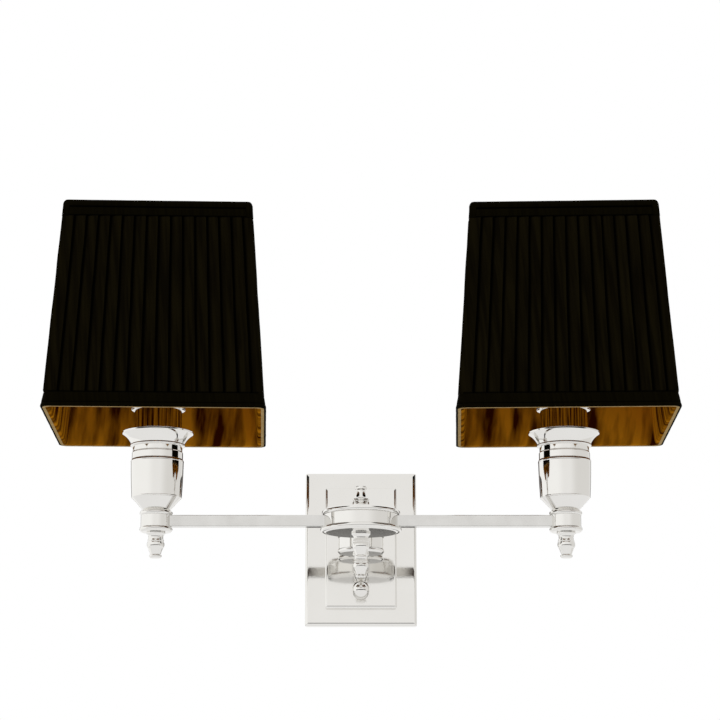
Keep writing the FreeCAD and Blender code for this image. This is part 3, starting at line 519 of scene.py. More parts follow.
def patterned(piece, tree, **values):
    """Runs a geometry tree on a piece with these inputs and keeps the result as its plain mesh."""
    modifier = piece.modifiers.new(tree.name, "NODES")
    modifier.node_group = tree
    sockets = {item.name: item.identifier for item in tree.interface.items_tree
               if item.item_type == "SOCKET" and item.in_out == "INPUT"}
    for name, value in values.items():
        modifier[sockets[name.replace("_", " ")]] = value
    mesh = plain_mesh(piece)
    piece.modifiers.remove(modifier)
    piece.data = mesh
    return piece


rows = row_pattern()
nut = patterned(mesh_piece("plate_ball_nuts", ball_nut, nickel, facing=FACING_OUT), rows, Count=2,
                First=(0, -PANEL_FACE * MM, -NUT_SPACING / 2 * MM), Step=(0, 0, NUT_SPACING * MM),
                Finish=nickel)
fitted(nut, "wall_mount", "polished_nickel", "ball_nuts")
fitted(mesh_piece("panel_boss", wall_boss, nickel, (0, -PANEL_FACE, 0), FACING_OUT), "wall_mount",
       "polished_nickel", "wall_boss")


# ---- Knuckle ----
# The pivot behind the drum: a fixed yoke of two rimmed discs with a barrel that turns
# between them, clamped by a rod with a turned finial at each end. Nickel-plated brass.
KNUCKLE_Y = -(PANEL_FACE + 25.0)
AT_KNUCKLE = (0, KNUCKLE_Y, 0)
KNUCKLE_BODY, KNUCKLE_RIM = 19.8, 20.7
KNUCKLE_BODY_HALF, KNUCKLE_HALF = 5.0, 8.9
SPINDLE_LENGTH, SPINDLE_RADIUS = 21.4, 7.8
TOP_FINIAL_HEIGHT, TOP_FINIAL_RADIUS = 19.4, 6.9
BROKEN_EDGE, SOLID_WELD, FLAT_ENOUGH = 0.2, 0.01, 0.5
KNUCKLE_CORE, WEB_HALF_ANGLE, WEB_STEPS, NECK_END = 12.3, 20.0, 16, 8.0


def rimmed_disc(bm, rim, body, inner_z, outer_z):
    """A solid disc whose edge is a rounded rim that stands out past the body under it."""
    middle, flat = (inner_z + outer_z) / 2, rim - (rim - body) * 1.6
    turn(bm, [(0, inner_z), (body, inner_z), ((rim, middle), (body, outer_z - (outer_z - inner_z) * 0.16)),
              (flat, outer_z), (0, outer_z)])


def spindle_finial(bm, top):
    """The turned finial that hangs below a hub: flange, neck, ring, bulb and tip."""
    def at(radius, drop):
        return SPINDLE_RADIUS * radius, top - SPINDLE_LENGTH * drop

    turn(bm, [(0, top), at(1, 0), at(1, 0.06), (at(0.84, 0.12), at(0.81, 0.28)), at(0.87, 0.34),
              at(0.83, 0.36), (at(0.92, 0.46), at(0.78, 0.63)), at(0.54, 0.86),
              (at(0.64, 0.94), at(0.46, 1)), (0, top - SPINDLE_LENGTH)])


def top_finial(bm, base):
    """The finial that stands on a hub: base ring, neck, two beads, a bell and a flat knob."""
    def at(radius, rise):
        return TOP_FINIAL_RADIUS * radius, base + TOP_FINIAL_HEIGHT * rise

    turn(bm, [(0, base), at(0.80, 0), at(0.80, 0.06), (at(0.70, 0.14), at(0.74, 0.27)), at(0.82, 0.29),
              at(0.80, 0.33), at(0.92, 0.35), at(0.92, 0.385), at(0.88, 0.40), (at(1, 0.44), at(0.92, 0.48)),
              (at(0.60, 0.63), at(0.52, 0.82)), (at(0.56, 0.86), at(0.68, 0.885)), at(0.70, 0.98),
              at(0.66, 1), (0, base + TOP_FINIAL_HEIGHT)])


def from_solid(name, node, material, edge=BROKEN_EDGE):
    """A finished copy of a CAD node: its facets joined, flats kept crisp and sharp edges broken."""
    bm = bmesh.new()
    bm.from_mesh(frame["nodes"][node].data)
    bmesh.ops.remove_doubles(bm, verts=bm.verts, dist=SOLID_WELD * MM)
    bmesh.ops.dissolve_limit(bm, angle_limit=math.radians(FLAT_ENOUGH), verts=bm.verts, edges=bm.edges)
    piece = shaped(name, bm, material)
    broken = piece.modifiers.new("broken_edges", "BEVEL")
    broken.width = edge * MM
    broken.segments = 2
    broken.limit_method = "ANGLE"
    broken.angle_limit = SMOOTH_ANGLE
    broken.harden_normals = True
    return piece


def knuckle_neck(bm):
    disc(bm, NECK_RADIUS, BOSS_THICKNESS, NECK_END)
    move(bm, (0, -PANEL_FACE - KNUCKLE_Y, 0), FACING_OUT)


def knuckle_yoke(bm):
    """Two discs, the web between them on the wall side, and the neck that joins them to the boss."""
    knuckle_neck(bm)
    for way in (1, -1):
        rimmed_disc(bm, KNUCKLE_RIM, KNUCKLE_BODY, way * KNUCKLE_BODY_HALF, way * KNUCKLE_HALF)
    slices = []
    for step in range(WEB_STEPS + 1):
        angle = math.radians(90 - WEB_HALF_ANGLE + 2 * WEB_HALF_ANGLE * step / WEB_STEPS)
        corners = ((KNUCKLE_CORE, -1), (KNUCKLE_BODY, -1), (KNUCKLE_BODY, 1), (KNUCKLE_CORE, 1))
        slices.append([polar(radius, angle, way * KNUCKLE_BODY_HALF) for radius, way in corners])
    closed_loops(bm, slices)


for name, build, node in (
        ("knuckle_fixed_yoke", knuckle_yoke, "knuckle_yoke"),
        ("knuckle_upper_finial", lambda bm: top_finial(bm, KNUCKLE_HALF), "knuckle_top_finial"),
        ("knuckle_lower_finial", lambda bm: spindle_finial(bm, -KNUCKLE_HALF), "knuckle_bottom_finial")):
    fitted(mesh_piece(name, build, nickel, AT_KNUCKLE), "wall_mount", "polished_nickel", node)
fitted(from_solid("knuckle_turning_barrel", "knuckle_barrel", nickel), "arms", "polished_nickel",
       "knuckle_barrel")


# ---- Behind the plate: bracket, studs, stem and terminals ----
# A zinc-plated steel strap screwed to the wall, two M4 studs for the ball nuts, the M10
# stem with its nut and washer, and a terminal block, as on any lamp of this kind.
STUD_RADIUS, STUD_HEAD, STUD_HEAD_THICKNESS, STUD_PITCH, STUD_REACH = 2.0, 3.0, 0.9, 0.7, 7.0
STEM_RADIUS, STEM_BORE, STEM_PITCH, STEM_FRONT, STEM_BACK = 5.0, 3.7, 1.0, 4.0, 1.5
WASHER_RADIUS, WASHER, WASHER_FIT, WASHER_EDGE = 9.0, 1.0, 0.25, 0.12
NUT_FLATS, NUT_THICKNESS, NUT_CHAMFER = 14.0, 3.5, 0.4
THREAD_DEPTH, THREAD_STEPS, THREAD_FADE = 0.6, 6, 4       # the depth is a share of the pitch


def threaded(bm, radius, low, high, pitch, bore=0.0, segments=40, depth=THREAD_DEPTH):
    """A helical thread between two heights, its depth a share of its pitch. With a bore it is a tube."""
    steps = max(8, round((high - low) / pitch * THREAD_STEPS))
    rings = []
    for step in range(steps + 1):
        z = low + (high - low) * step / steps
        fade = min(1.0, step / THREAD_FADE, (steps - step) / THREAD_FADE)
        ring = []
        for i in range(segments):
            wave = abs(((z / pitch - i / segments) % 1.0) * 2 - 1)
            r = radius - depth * pitch * (wave * fade + (1 - fade))
            ring.append(polar(r, 2 * math.pi * i / segments, z))
        rings.append(ring)
    if bore:
        skin_loops(bm, rings + [circle(bore, z, segments) for z in (high, low)], True)
    else:
        closed_loops(bm, rings)


def hex_nut(bm, flats, low, high, bore):
    """A hexagon nut with turned chamfers above and below."""
    around, start, wide = 48, flats / 2 * 0.97, bore + NUT_CHAMFER
    slope = math.tan(math.radians(30))

    def ring(radius_at, z_at):
        points = []
        for i in range(around):
            angle = 2 * math.pi * i / around
            flat = flats / 2 / math.cos((angle + math.pi / 6) % (math.pi / 3) - math.pi / 6)
            points.append(polar(radius_at(flat), angle, z_at(flat)))
        return points

    def plain(radius, z):
        return ring(lambda flat: radius, lambda flat: z)

    skin_loops(bm, [plain(bore, low + NUT_CHAMFER), plain(wide, low), plain(start, low),
                    ring(lambda flat: flat, lambda flat: low + (flat - start) * slope),
                    ring(lambda flat: flat, lambda flat: (low + high) / 2),
                    ring(lambda flat: flat, lambda flat: high - (flat - start) * slope),
                    plain(start, high), plain(wide, high), plain(bore, high - NUT_CHAMFER)], True)


def bracket_stud(bm):
    threaded(bm, STUD_RADIUS, STUD_HEAD_THICKNESS - 0.2, PANEL_FACE + STUD_REACH, STUD_PITCH, segments=24)
    disc(bm, STUD_HEAD, 0, STUD_HEAD_THICKNESS, segments=36)


def stem(bm):
    back = PANEL_FACE - SHEET - WASHER - NUT_THICKNESS - STEM_BACK
    front = PANEL_FACE + BOSS_THICKNESS + STEM_FRONT
    threaded(bm, STEM_RADIUS, back, front, STEM_PITCH, STEM_BORE, segments=56)


def stem_washer(bm):
    front, bore = PANEL_FACE - SHEET, STEM_RADIUS + WASHER_FIT
    turn(bm, [(bore, front - WASHER), (WASHER_RADIUS, front - WASHER), (WASHER_RADIUS, front), (bore, front)],
         edge=WASHER_EDGE, segments=72, closed=True)


def stem_nut(bm):
    front = PANEL_FACE - SHEET - WASHER
    hex_nut(bm, NUT_FLATS, front - NUT_THICKNESS, front, STEM_RADIUS)


steel = worn_material("zinc_steel", (0.66, 0.66, 0.67), (0.50, 0.51, 0.54), (0.22, 0.46), (160, 600),
                      (0.3, 0.00003))
brass = worn_material("bare_brass", (0.80, 0.63, 0.33), (0.58, 0.42, 0.20), (0.18, 0.42), (220, 800),
                      (0.25, 0.00003))
insulator = worn_material("pale_insulator", (0.86, 0.85, 0.81), (0.78, 0.765, 0.72), (0.38, 0.55), (90, 500),
                          (0.2, 0.00005), metallic=0.0, lifted="Smear")
studs = patterned(mesh_piece("plate_studs", bracket_stud, steel, facing=FACING_OUT), rows, Count=2,
                  First=(0, 0, -NUT_SPACING / 2 * MM), Step=(0, 0, NUT_SPACING * MM), Finish=steel)
fitted(studs, "wall_mount", "zinc_steel", "bracket_studs")
for name, build, node in (("stem_threaded_tube", stem, "stem_tube"),
                          ("stem_flat_washer", stem_washer, "stem_washer"),
                          ("stem_hex_nut", stem_nut, "stem_nut")):
    fitted(mesh_piece(name, build, steel, facing=FACING_OUT), "wall_mount", "zinc_steel", node)
for name, node, material, slot, edge in (
        ("bracket_strap", "wall_bracket", steel, "zinc_steel", 0.25),
        ("supply_terminal", "terminal_block", insulator, "insulator", 0.5),
        ("supply_clamp_screws", "terminal_screws", brass, "brass", 0.1),
        ("earth_slotted_screw", "earth_screw", brass, "brass", 0.1)):
    fitted(from_solid(name, node, material, edge), "wall_mount", slot, node)


# ---- Bars ----
# Square brass tube with slightly rounded edges, polished along its length and plated:
# one bar from the knuckle out to the drum, and one to each side.
ARM_Y, ARM_REACH = -180.0, 169.0
AT_DRUM = (0, ARM_Y, 0)
BAR_SIZE, BAR_EDGE = 9.5, 0.6
DRUM_BODY, COLLAR_BODY = 30.6, 12.6


def bar(bm, length):
    """A square bar that starts at the origin and runs along +X."""
    half = BAR_SIZE / 2
    section = rectangle_path(half, half, BAR_EDGE, 5)
    closed_loops(bm, [[Vector((x, u, v)) * MM for u, v in section] for x in (0, length)])


def bar_seat(radius):
    """How far from a round body's axis a bar of this width meets it."""
    return math.sqrt(radius ** 2 - (BAR_SIZE / 2) ** 2)


bar_nickel = worn_material("drawn_nickel", (0.80, 0.795, 0.775), (0.62, 0.61, 0.59), (0.06, 0.16), (70, 900),
                           (0.05, 0.00002))
back, front = KNUCKLE_Y - bar_seat(KNUCKLE_BODY), ARM_Y + bar_seat(DRUM_BODY)
start, end = bar_seat(DRUM_BODY), ARM_REACH - bar_seat(COLLAR_BODY)
for name, node, length, at, degrees in (
        ("bar_to_drum", "forward_bar", back - front, (0, back, 0), -90),
        ("side_bar_left", "arm_bar_left", end - start, (-start, ARM_Y, 0), 180),
        ("side_bar_right", "arm_bar_right", end - start, (start, ARM_Y, 0), 0)):
    heading = Matrix.Rotation(math.radians(degrees), 4, "Z")
    piece = mesh_piece(name, lambda bm: bar(bm, length), bar_nickel, at, heading)
    fitted(piece, "arms", "polished_nickel", node)


# ---- Drum ----
# The hub that the three bars run into: a plain ring between two spun caps with rolled
# rims, the lower one wider, held by a rod with a finial above and one below.
DRUM_BODY_HALF, DRUM_CAP, DRUM_WALL = 5.0, 4.6, 3.0
DRUM_HALF = DRUM_BODY_HALF + DRUM_CAP
DRUM_TOP_RIM, DRUM_BOTTOM_RIM = 32.2, 33.4


def drum_ring(bm):
    inside, half = DRUM_BODY - DRUM_WALL, DRUM_BODY_HALF
    turn(bm, [(inside, -half), (DRUM_BODY, -half), (DRUM_BODY, half), (inside, half)], closed=True,
         segments=192)


def drum_cap(bm, way, rim):
    rimmed_disc(bm, rim, DRUM_BODY, way * DRUM_BODY_HALF, way * DRUM_HALF)


for name, build, node in (
        ("drum_ring", drum_ring, "drum_body"),
        ("drum_upper_cap", lambda bm: drum_cap(bm, 1, DRUM_TOP_RIM), "drum_top_cap"),
        ("drum_lower_cap", lambda bm: drum_cap(bm, -1, DRUM_BOTTOM_RIM), "drum_bottom_cap"),
        ("drum_upper_finial", lambda bm: top_finial(bm, DRUM_HALF), "drum_top_finial"),
        ("drum_lower_finial", lambda bm: spindle_finial(bm, -DRUM_HALF), "drum_bottom_finial")):
    fitted(mesh_piece(name, build, nickel, AT_DRUM), "arms", "polished_nickel", node)


# ---- Lamp holders: collar, finial, cup and sleeve ----
# Turned and spun brass, nickel-plated. The collar takes the bar, the finial is its nut
# below, the cup opens in a trumpet lip, and a polished sleeve stands in the cup.
COLLAR_RIM, COLLAR_BODY_HALF, COLLAR_HALF = 13.5, 5.0, 9.0
CUP_FLOOR, CUP_WAIST, CUP_LIP, CUP_LIP_RADIUS = 20.5, 62.0, 73.9, 29.6
SLEEVE_RADIUS, SLEEVE_WALL, SLEEVE_TOP = 19.6, 1.2, 95.0
FLANGE_RADIUS, FLANGE, FLANGE_DROP = 22.4, 0.5, 0.9


def collar(bm):
    for way in (1, -1):
        rimmed_disc(bm, COLLAR_RIM, COLLAR_BODY, way * COLLAR_BODY_HALF, way * COLLAR_HALF)
    disc(bm, COLLAR_BODY, -COLLAR_BODY_HALF, COLLAR_BODY_HALF)


def cup(bm):
    """Cone, barrel, two grooves, waist bead and trumpet lip, with the cup's inside down to its floor."""
    waist, lip, lip_r, inside = CUP_WAIST, CUP_LIP, CUP_LIP_RADIUS, SLEEVE_RADIUS + 0.05
    turn(bm, [(0, COLLAR_HALF), (11.0, COLLAR_HALF), (19.9, 18.9), ((20.7, 19.4), (20.7, 20.2)),
              ((21.5, 36.0), (21.8, 49.0)), ((21.7, 50.6), (21.1, 51.4)), (21.1, 57.0), (20.5, 57.8),
              (20.5, waist), (22.2, waist + 0.3), ((22.7, waist + 1.2), (22.3, waist + 2.1)),
              ((25.0, waist + 7.2), (lip_r - 0.5, lip - 1.0)), (lip_r - 0.25, lip - 0.85),
              (lip_r, lip + 0.2), ((lip_r, lip + 0.5), (lip_r - 0.6, lip + 0.6)),
              ((24.1, waist + 7.7), (inside, waist + 1.2)), (inside, CUP_FLOOR), (0, CUP_FLOOR)])


def sleeve(bm):
    """The sleeve, its top spun out into a thin flange that drops towards its edge."""
    inner, outer, under = SLEEVE_RADIUS - SLEEVE_WALL, SLEEVE_RADIUS, SLEEVE_TOP - FLANGE
    edge = SLEEVE_TOP - FLANGE_DROP
    turn(bm, [(inner, CUP_FLOOR), (outer, CUP_FLOOR), (outer, under), (FLANGE_RADIUS - 0.25, edge - FLANGE),
              ((FLANGE_RADIUS, edge - FLANGE), (FLANGE_RADIUS, edge - FLANGE / 2)), (FLANGE_RADIUS, edge),
              (outer, SLEEVE_TOP), (inner, SLEEVE_TOP)], closed=True)


for side, sign in SIDES.items():
    at = (sign * ARM_REACH, ARM_Y, 0)
    for name, build, node in (
            ("collar_turned", collar, "collar"),
            ("holder_lower_finial", lambda bm: spindle_finial(bm, -COLLAR_HALF), "holder_finial"),
            ("cup_turned", cup, "cup"), ("sleeve_polished", sleeve, "candle_sleeve")):
        fitted(mesh_piece(f"{name}_{side}", build, nickel, at), "arms", "polished_nickel", f"{node}_{side}")


# ---- Inside the hubs and the lamp holders ----
# Threaded steel rods and tubes hold the turned parts together. An insulating holder with a
# brass screw shell takes the lamp, and a fluted ring nut on it clamps the shade.
ROD_RADIUS, ROD_PITCH = 3.0, 1.0
ROD_INTO_SPINDLE, ROD_INTO_TOP = 10.0, 8.0
TUBE_NUT = 3.5
SPLICE_RADIUS, SPLICE_LENGTH, SPLICE_OFFSET, SPLICE_COUNT = 3.2, 13.0, 14.0, 3
HOLDER_BOTTOM, HOLDER_TOP, HOLDER_THREAD, HOLDER_CONE = 50.0, 106.0, 18.0, 6.0
HOLDER_RADIUS, HOLDER_BASE, HOLDER_PITCH, TUBE_REACH = 16.9, 13.0, 2.0, 10.0
SOCKET_RADIUS, SOCKET_WALL, SOCKET_FLOOR, SOCKET_PITCH = 13.3, 0.65, 78.0, 3.6
SHELL, SHELL_ROLL, SHELL_FADE = 0.3, 0.32, 8
CONTACT_RADIUS, CONTACT_HEIGHT = 4.5, 1.8
CARRIER_BOTTOM, CARRIER, CARRIER_RADIUS = SLEEVE_TOP + 0.1, 3.0, 22.4
CARRIER_TOP = CARRIER_BOTTOM + CARRIER
RING_NUT_RADIUS, RING_NUT, RING_NUT_FLUTES, FLUTE_DEPTH = 19.0, 6.0, 16, 0.9
FIT = 0.05


def hub_rod(bm, half):
    threaded(bm, ROD_RADIUS, -half - ROD_INTO_SPINDLE, half + ROD_INTO_TOP, ROD_PITCH, segments=28)


def splices(bm):
    """Closed-end splice caps, each a ribbed skirt, a cone and a blunt tip, round the drum's rod."""
    radius, cone, end = SPLICE_RADIUS, SPLICE_RADIUS * 0.6, SPLICE_LENGTH
    grip = radius * 0.93
    for count in range(SPLICE_COUNT):
        cap = bmesh.new()
        turn(cap, [(0, 0), (radius, 0), (radius, 2.0), (grip, 2.3), (grip, end - 3.4), (radius, end - 3),
                   (cone, end), (0, end)], segments=40)
        lying = Matrix.Rotation(math.radians(90), 4, "Y")
        move(cap, (-end / 2, -SPLICE_OFFSET, radius - DRUM_BODY_HALF), lying)
        move(cap, AT_DRUM, Matrix.Rotation(2 * math.pi * count / SPLICE_COUNT, 4, "Z"))
        mesh = bpy.data.meshes.new("splice")
        cap.to_mesh(mesh)
        cap.free()
        bm.from_mesh(mesh)


def holder(bm):
    """The holder's body: a cone, a plain skirt and a threaded top that the ring nut runs on."""
    well, step = SOCKET_RADIUS + SOCKET_WALL + FIT, HOLDER_TOP - HOLDER_THREAD
    turn(bm, [(STEM_RADIUS, HOLDER_BOTTOM), (HOLDER_BASE, HOLDER_BOTTOM),
              (HOLDER_RADIUS, HOLDER_BOTTOM + HOLDER_CONE), (HOLDER_RADIUS, step),
              (HOLDER_RADIUS - 0.8, step + 0.6), (well, step + 0.6), (well, SOCKET_FLOOR),
              (STEM_BORE, SOCKET_FLOOR), (STEM_RADIUS, HOLDER_BOTTOM + TUBE_REACH)], closed=True, segments=96)
    threaded(bm, HOLDER_RADIUS, step + 0.4, HOLDER_TOP, HOLDER_PITCH, bore=well, segments=96, depth=0.3)


def socket(bm):
    """The rolled screw shell: inside and outside follow the same round thread."""
    low, high, segments, steps = SOCKET_FLOOR + 2, HOLDER_TOP - 1, 96, 90
    walls = []
    for radius in (SOCKET_RADIUS, SOCKET_RADIUS + SHELL):
        wall = []
        for step in range(steps + 1):
            z = low + (high - low) * step / steps
            fade = min(1.0, step / SHELL_FADE, (steps - step) / SHELL_FADE)
            ring = []
            for i in range(segments):
                roll = math.cos(2 * math.pi * (z / SOCKET_PITCH - i / segments)) * fade
                ring.append(polar(radius + SHELL_ROLL * (1 + roll), 2 * math.pi * i / segments, z))
            wall.append(ring)
        walls.append(wall)
    skin_loops(bm, walls[0] + walls[1][::-1], True)


def contact(bm):
    rim, button, top = CONTACT_HEIGHT / 3, CONTACT_RADIUS / 2, SOCKET_FLOOR + CONTACT_HEIGHT
    turn(bm, [(0, SOCKET_FLOOR), (CONTACT_RADIUS, SOCKET_FLOOR), (CONTACT_RADIUS, SOCKET_FLOOR + rim),
              (button, SOCKET_FLOOR + rim), (button, top - rim), (button - rim, top), (0, top)], segments=48)


def lamp_tube(bm):
    bottom, top = -COLLAR_HALF - ROD_INTO_SPINDLE, HOLDER_BOTTOM + TUBE_REACH
    threaded(bm, STEM_RADIUS, bottom, top, STEM_PITCH, STEM_BORE, segments=48)


def ring_nut(bm):
    """The shade's ring nut: a collar with finger flutes round its edge and a chamfered bore."""
    around, low = RING_NUT_FLUTES * 12, CARRIER_TOP + 0.1
    bore, high = HOLDER_RADIUS + FIT, CARRIER_TOP + 0.1 + RING_NUT

    def fluted(inset, z):
        points = []
        for i in range(around):
            angle = 2 * math.pi * i / around
            flute = max(0.0, math.cos(RING_NUT_FLUTES * angle)) ** 2 * FLUTE_DEPTH
            points.append(polar(RING_NUT_RADIUS - inset - flute, angle, z))
        return points

    outside = [fluted(inset, z)
               for inset, z in ((0.3, low), (0.05, low + 0.25), (0, low + 0.6), (0, high - 0.6),
                                (0.05, high - 0.25), (0.3, high))]
    inside = [circle(bore + inset, z, around)
              for inset, z in ((0.4, high), (0, high - 0.4), (0, low + 0.4), (0.4, low))]
    skin_loops(bm, outside + inside, True)


def cup_nuts(bm):
    for sign in SIDES.values():
        start = len(bm.verts)
        hex_nut(bm, NUT_FLATS, CUP_FLOOR, CUP_FLOOR + TUBE_NUT, STEM_RADIUS)
        bm.verts.ensure_lookup_table()
        bmesh.ops.translate(bm, vec=Vector((sign * ARM_REACH, ARM_Y, 0)) * MM, verts=bm.verts[start:])


for name, build, material, slot, at, body, node in (
        ("knuckle_threaded_rod", lambda bm: hub_rod(bm, KNUCKLE_HALF), steel, "zinc_steel", AT_KNUCKLE,
         "wall_mount", "knuckle_rod"),
        ("drum_threaded_rod", lambda bm: hub_rod(bm, DRUM_HALF), steel, "zinc_steel", AT_DRUM,
         "arms", "drum_rod"),
        ("supply_splices", splices, insulator, "insulator", (0, 0, 0), "arms", "drum_splices"),
        ("cup_hex_nuts", cup_nuts, steel, "zinc_steel", (0, 0, 0), "arms", "cup_nuts")):
    fitted(mesh_piece(name, build, material, at), body, slot, node)
for side, sign in SIDES.items():
    at = (sign * ARM_REACH, ARM_Y, 0)
    for name, build, material, slot, body, node in (
            ("holder_body", holder, insulator, "insulator", "arms", "lampholder"),
            ("socket_screw_shell", socket, brass, "brass", "arms", "socket_shell"),
            ("socket_centre_contact", contact, brass, "brass", "arms", "socket_contact"),
            ("holder_threaded_tube", lamp_tube, steel, "zinc_steel", "arms", "lamp_tube"),
            ("shade_ring_nut", ring_nut, insulator, "insulator", f"shade_nut_{side}", "shade_nut")):
        fitted(mesh_piece(f"{name}_{side}", build, material, at), body, slot, f"{node}_{side}")


# ---- Shade: its sizes and its wire frame ----
# A square tapered shade of 1.5 mm body under the cloth: two wire squares and four corner
# ribs, hung by four bent wires on a flat carrier ring. The wires are painted pale, the ring bronze.
SHADE_BOTTOM, SHADE_HEIGHT = 79.3, 173.7
SHADE_TOP = SHADE_BOTTOM + SHADE_HEIGHT
SHADE_BOTTOM_SIZE, SHADE_TOP_SIZE, HEM_FLARE = 180.0, 154.0, 1.2
SHADE_TURN = 2.5
BAND, PLEAT_DEPTH, BACKING, FRAME_WIRE = 1.0, 1.0, 0.4, 1.5
COVER_INSIDE = BAND + PLEAT_DEPTH + BACKING
ARM_WIRE, ARM_STUB, ARM_RISE, ARM_BEND, ARM_GAP = 1.3, 8.0, 30.0, 5.0, 0.6
CARRIER_FIT, CARRIER_EDGE = 0.4, 0.35


def half_size(z):
    """Half the shade's outer width at a height, without the bottom band's flare."""
    straight_bottom = SHADE_BOTTOM_SIZE - 2 * HEM_FLARE
    share = (z - SHADE_BOTTOM) / SHADE_HEIGHT
    return (straight_bottom + (SHADE_TOP_SIZE - straight_bottom) * share) / 2


def shade_place(sign):
    """Where a shade's own axis stands, and its small turn towards the middle."""
    turned = Matrix.Rotation(math.radians(-sign * SHADE_TURN), 4, "Z")
    return Matrix.Translation(Vector((sign * ARM_REACH, ARM_Y, 0)) * MM) @ turned


def placed(piece, sign):
    """Moves a shade piece's mesh from the shade's own axis to its place on the lamp."""
    piece.data.transform(shade_place(sign))
    return piece


def wire_piece(name, runs, radius, material, bent=False):
    """Round wire along these runs of points, kept as one mesh. Bent wire turns softly at its inner points."""
    curve = bpy.data.curves.new(name, "CURVE")
    curve.dimensions = "3D"
    curve.bevel_depth = radius * MM
    curve.bevel_resolution = 5
    curve.use_fill_caps = True
    for points in runs:
        spline = curve.splines.new("BEZIER")
        spline.bezier_points.add(len(points) - 1)
        for knot, place in zip(spline.bezier_points, points):
            knot.co = Vector(place) * MM
            knot.handle_left_type = knot.handle_right_type = "VECTOR"
        for knot in spline.bezier_points[1:-1] if bent else ():
            knot.handle_left_type = knot.handle_right_type = "AUTO"
    path = new_object(name, curve)
    mesh = plain_mesh(path)
    bpy.data.objects.remove(path)
    mesh.materials.clear()
    mesh.materials.append(material)
    mesh.shade_smooth()
    return new_object(name, mesh)


def square_corners(half):
    return [(half, half), (-half, half), (-half, -half), (half, -half)]


def corner_points(inset, z):
    return [(x, y, z) for x, y in square_corners(half_size(z) - inset)]


def frame_runs():
    inset = COVER_INSIDE + FRAME_WIRE
    low, high = SHADE_BOTTOM + BAND + FRAME_WIRE, SHADE_TOP - BAND - FRAME_WIRE
    squares = [corner_points(inset, z) + corner_points(inset, z)[:1] for z in (low, high)]
    ribs = [[foot, head] for foot, head in zip(corner_points(inset, low), corner_points(inset, high))]
    return squares + ribs


def arm_runs():
    """Four wires from the carrier ring, up past the ring nut, then out to the corner ribs."""
    bend, high = CARRIER_TOP + ARM_STUB, CARRIER_TOP + ARM_STUB + ARM_RISE
    near = (RING_NUT_RADIUS + ARM_GAP + ARM_WIRE) * math.sqrt(0.5)
    far = half_size(high) - COVER_INSIDE - FRAME_WIRE
    slope = (high - bend) / (far - near)
    out = ARM_BEND / math.hypot(math.sqrt(2), slope)
    knots = ((near, CARRIER_TOP - 0.5), (near, bend - ARM_BEND), (near + out * 0.3, bend - ARM_BEND * 0.1),
             (near + out * 1.6, bend + slope * out * 1.6), (far, high))
    return [[(su * reach, sv * reach, z) for reach, z in knots] for su, sv in square_corners(1)]


def carrier(bm):
    bore = HOLDER_RADIUS + CARRIER_FIT
    turn(bm, [(bore, CARRIER_BOTTOM), (CARRIER_RADIUS, CARRIER_BOTTOM), (CARRIER_RADIUS, CARRIER_TOP),
              (bore, CARRIER_TOP)], edge=CARRIER_EDGE, segments=96, closed=True)


painted, bronzed = [
    worn_material(name, bright, dull, (0.28, 0.45), (120, 700), (0.25, 0.00005), metallic=0.0, lifted="Smear")
    for name, bright, dull in (("painted_wire", (0.78, 0.76, 0.70), (0.66, 0.63, 0.56)),
                               ("bronze_painted_ring", (0.10, 0.048, 0.012), (0.06, 0.028, 0.007)))]
for side, sign in SIDES.items():
    ring = mesh_piece(f"carrier_flat_ring_{side}", carrier, bronzed)
    bent_wires = wire_piece(f"carrier_bent_wires_{side}", arm_runs(), ARM_WIRE, painted, bent=True)
    square_frame = wire_piece(f"shade_wire_frame_{side}", frame_runs(), FRAME_WIRE, painted)
    for piece, node in ((ring, "carrier_ring"), (bent_wires, "carrier_arms"), (square_frame, "shade_frame")):
        fitted(placed(piece, sign), f"shade_{side}", "shade_wire", f"{node}_{side}")


# ---- Shade: cloth finishes ----
# Black cotton for the cover and its bindings, gold satin for the lining, and the same satin in lighter tones
# where it turns round
# the hem: painted light, as that edge is lit from outside. One weave serves them all, each with its own
# threads, slubs and tones.
# Painted shade: the colour deep in a fold or at a seam, as a share of the cloth's dark tone.
FOLD_PAINTED_SHADE = 0.12             # of the dark tone, deep in a fold
COTTON = {"roughness": (0.62, 0.8), "specular": 0.012, "tint": (1.0, 0.9, 0.7)}
# The satin's own specular is off: its sheen is painted into its slub tones.
SATIN = {"roughness": (0.45, 0.6), "specular": 0.0, "tint": (0.85, 0.42, 0.06)}


def cloth_weave():
    """Threads both ways with slubs along the warp, in the plane of the shade's upright faces.
    Where a cloth spreads its tones wide, as the satin does, the slub streaks are also its painted sheen and
    painted shade.
    """
    tree, given, made = new_group("cloth_weave", "ShaderNodeTree",
                                  {"Place": "Vector", "Threads": "Float", "Streaks": "Float"},
                                  {"Thread": "Float", "SlubAndSheen": "Float"})
    x, y, z = split(tree, given["Place"])
    across = reckon(tree, "ADD", x, y)
    warp = reckon(tree, "SINE", reckon(tree, "MULTIPLY", across, given["Threads"]))
    weft = reckon(tree, "SINE", reckon(tree, "MULTIPLY", z, given["Threads"]))
    over = reckon(tree, "MULTIPLY", warp, weft)
    tree.links.new(reckon(tree, "MULTIPLY_ADD", over, 0.5, 0.5), made["Thread"])
    place = add(tree, "ShaderNodeCombineXYZ", {"X": reckon(tree, "MULTIPLY", across, given["Streaks"]),
                                               "Y": reckon(tree, "MULTIPLY", z, 14.0)})
    slub_and_sheen = add(tree, "ShaderNodeTexNoise", {"Vector": place, "Scale": 1.0, "Detail": 3})
    tree.links.new(ranged(tree, slub_and_sheen, 0, 1, 0.37, 0.63), made["SlubAndSheen"])
    return tree


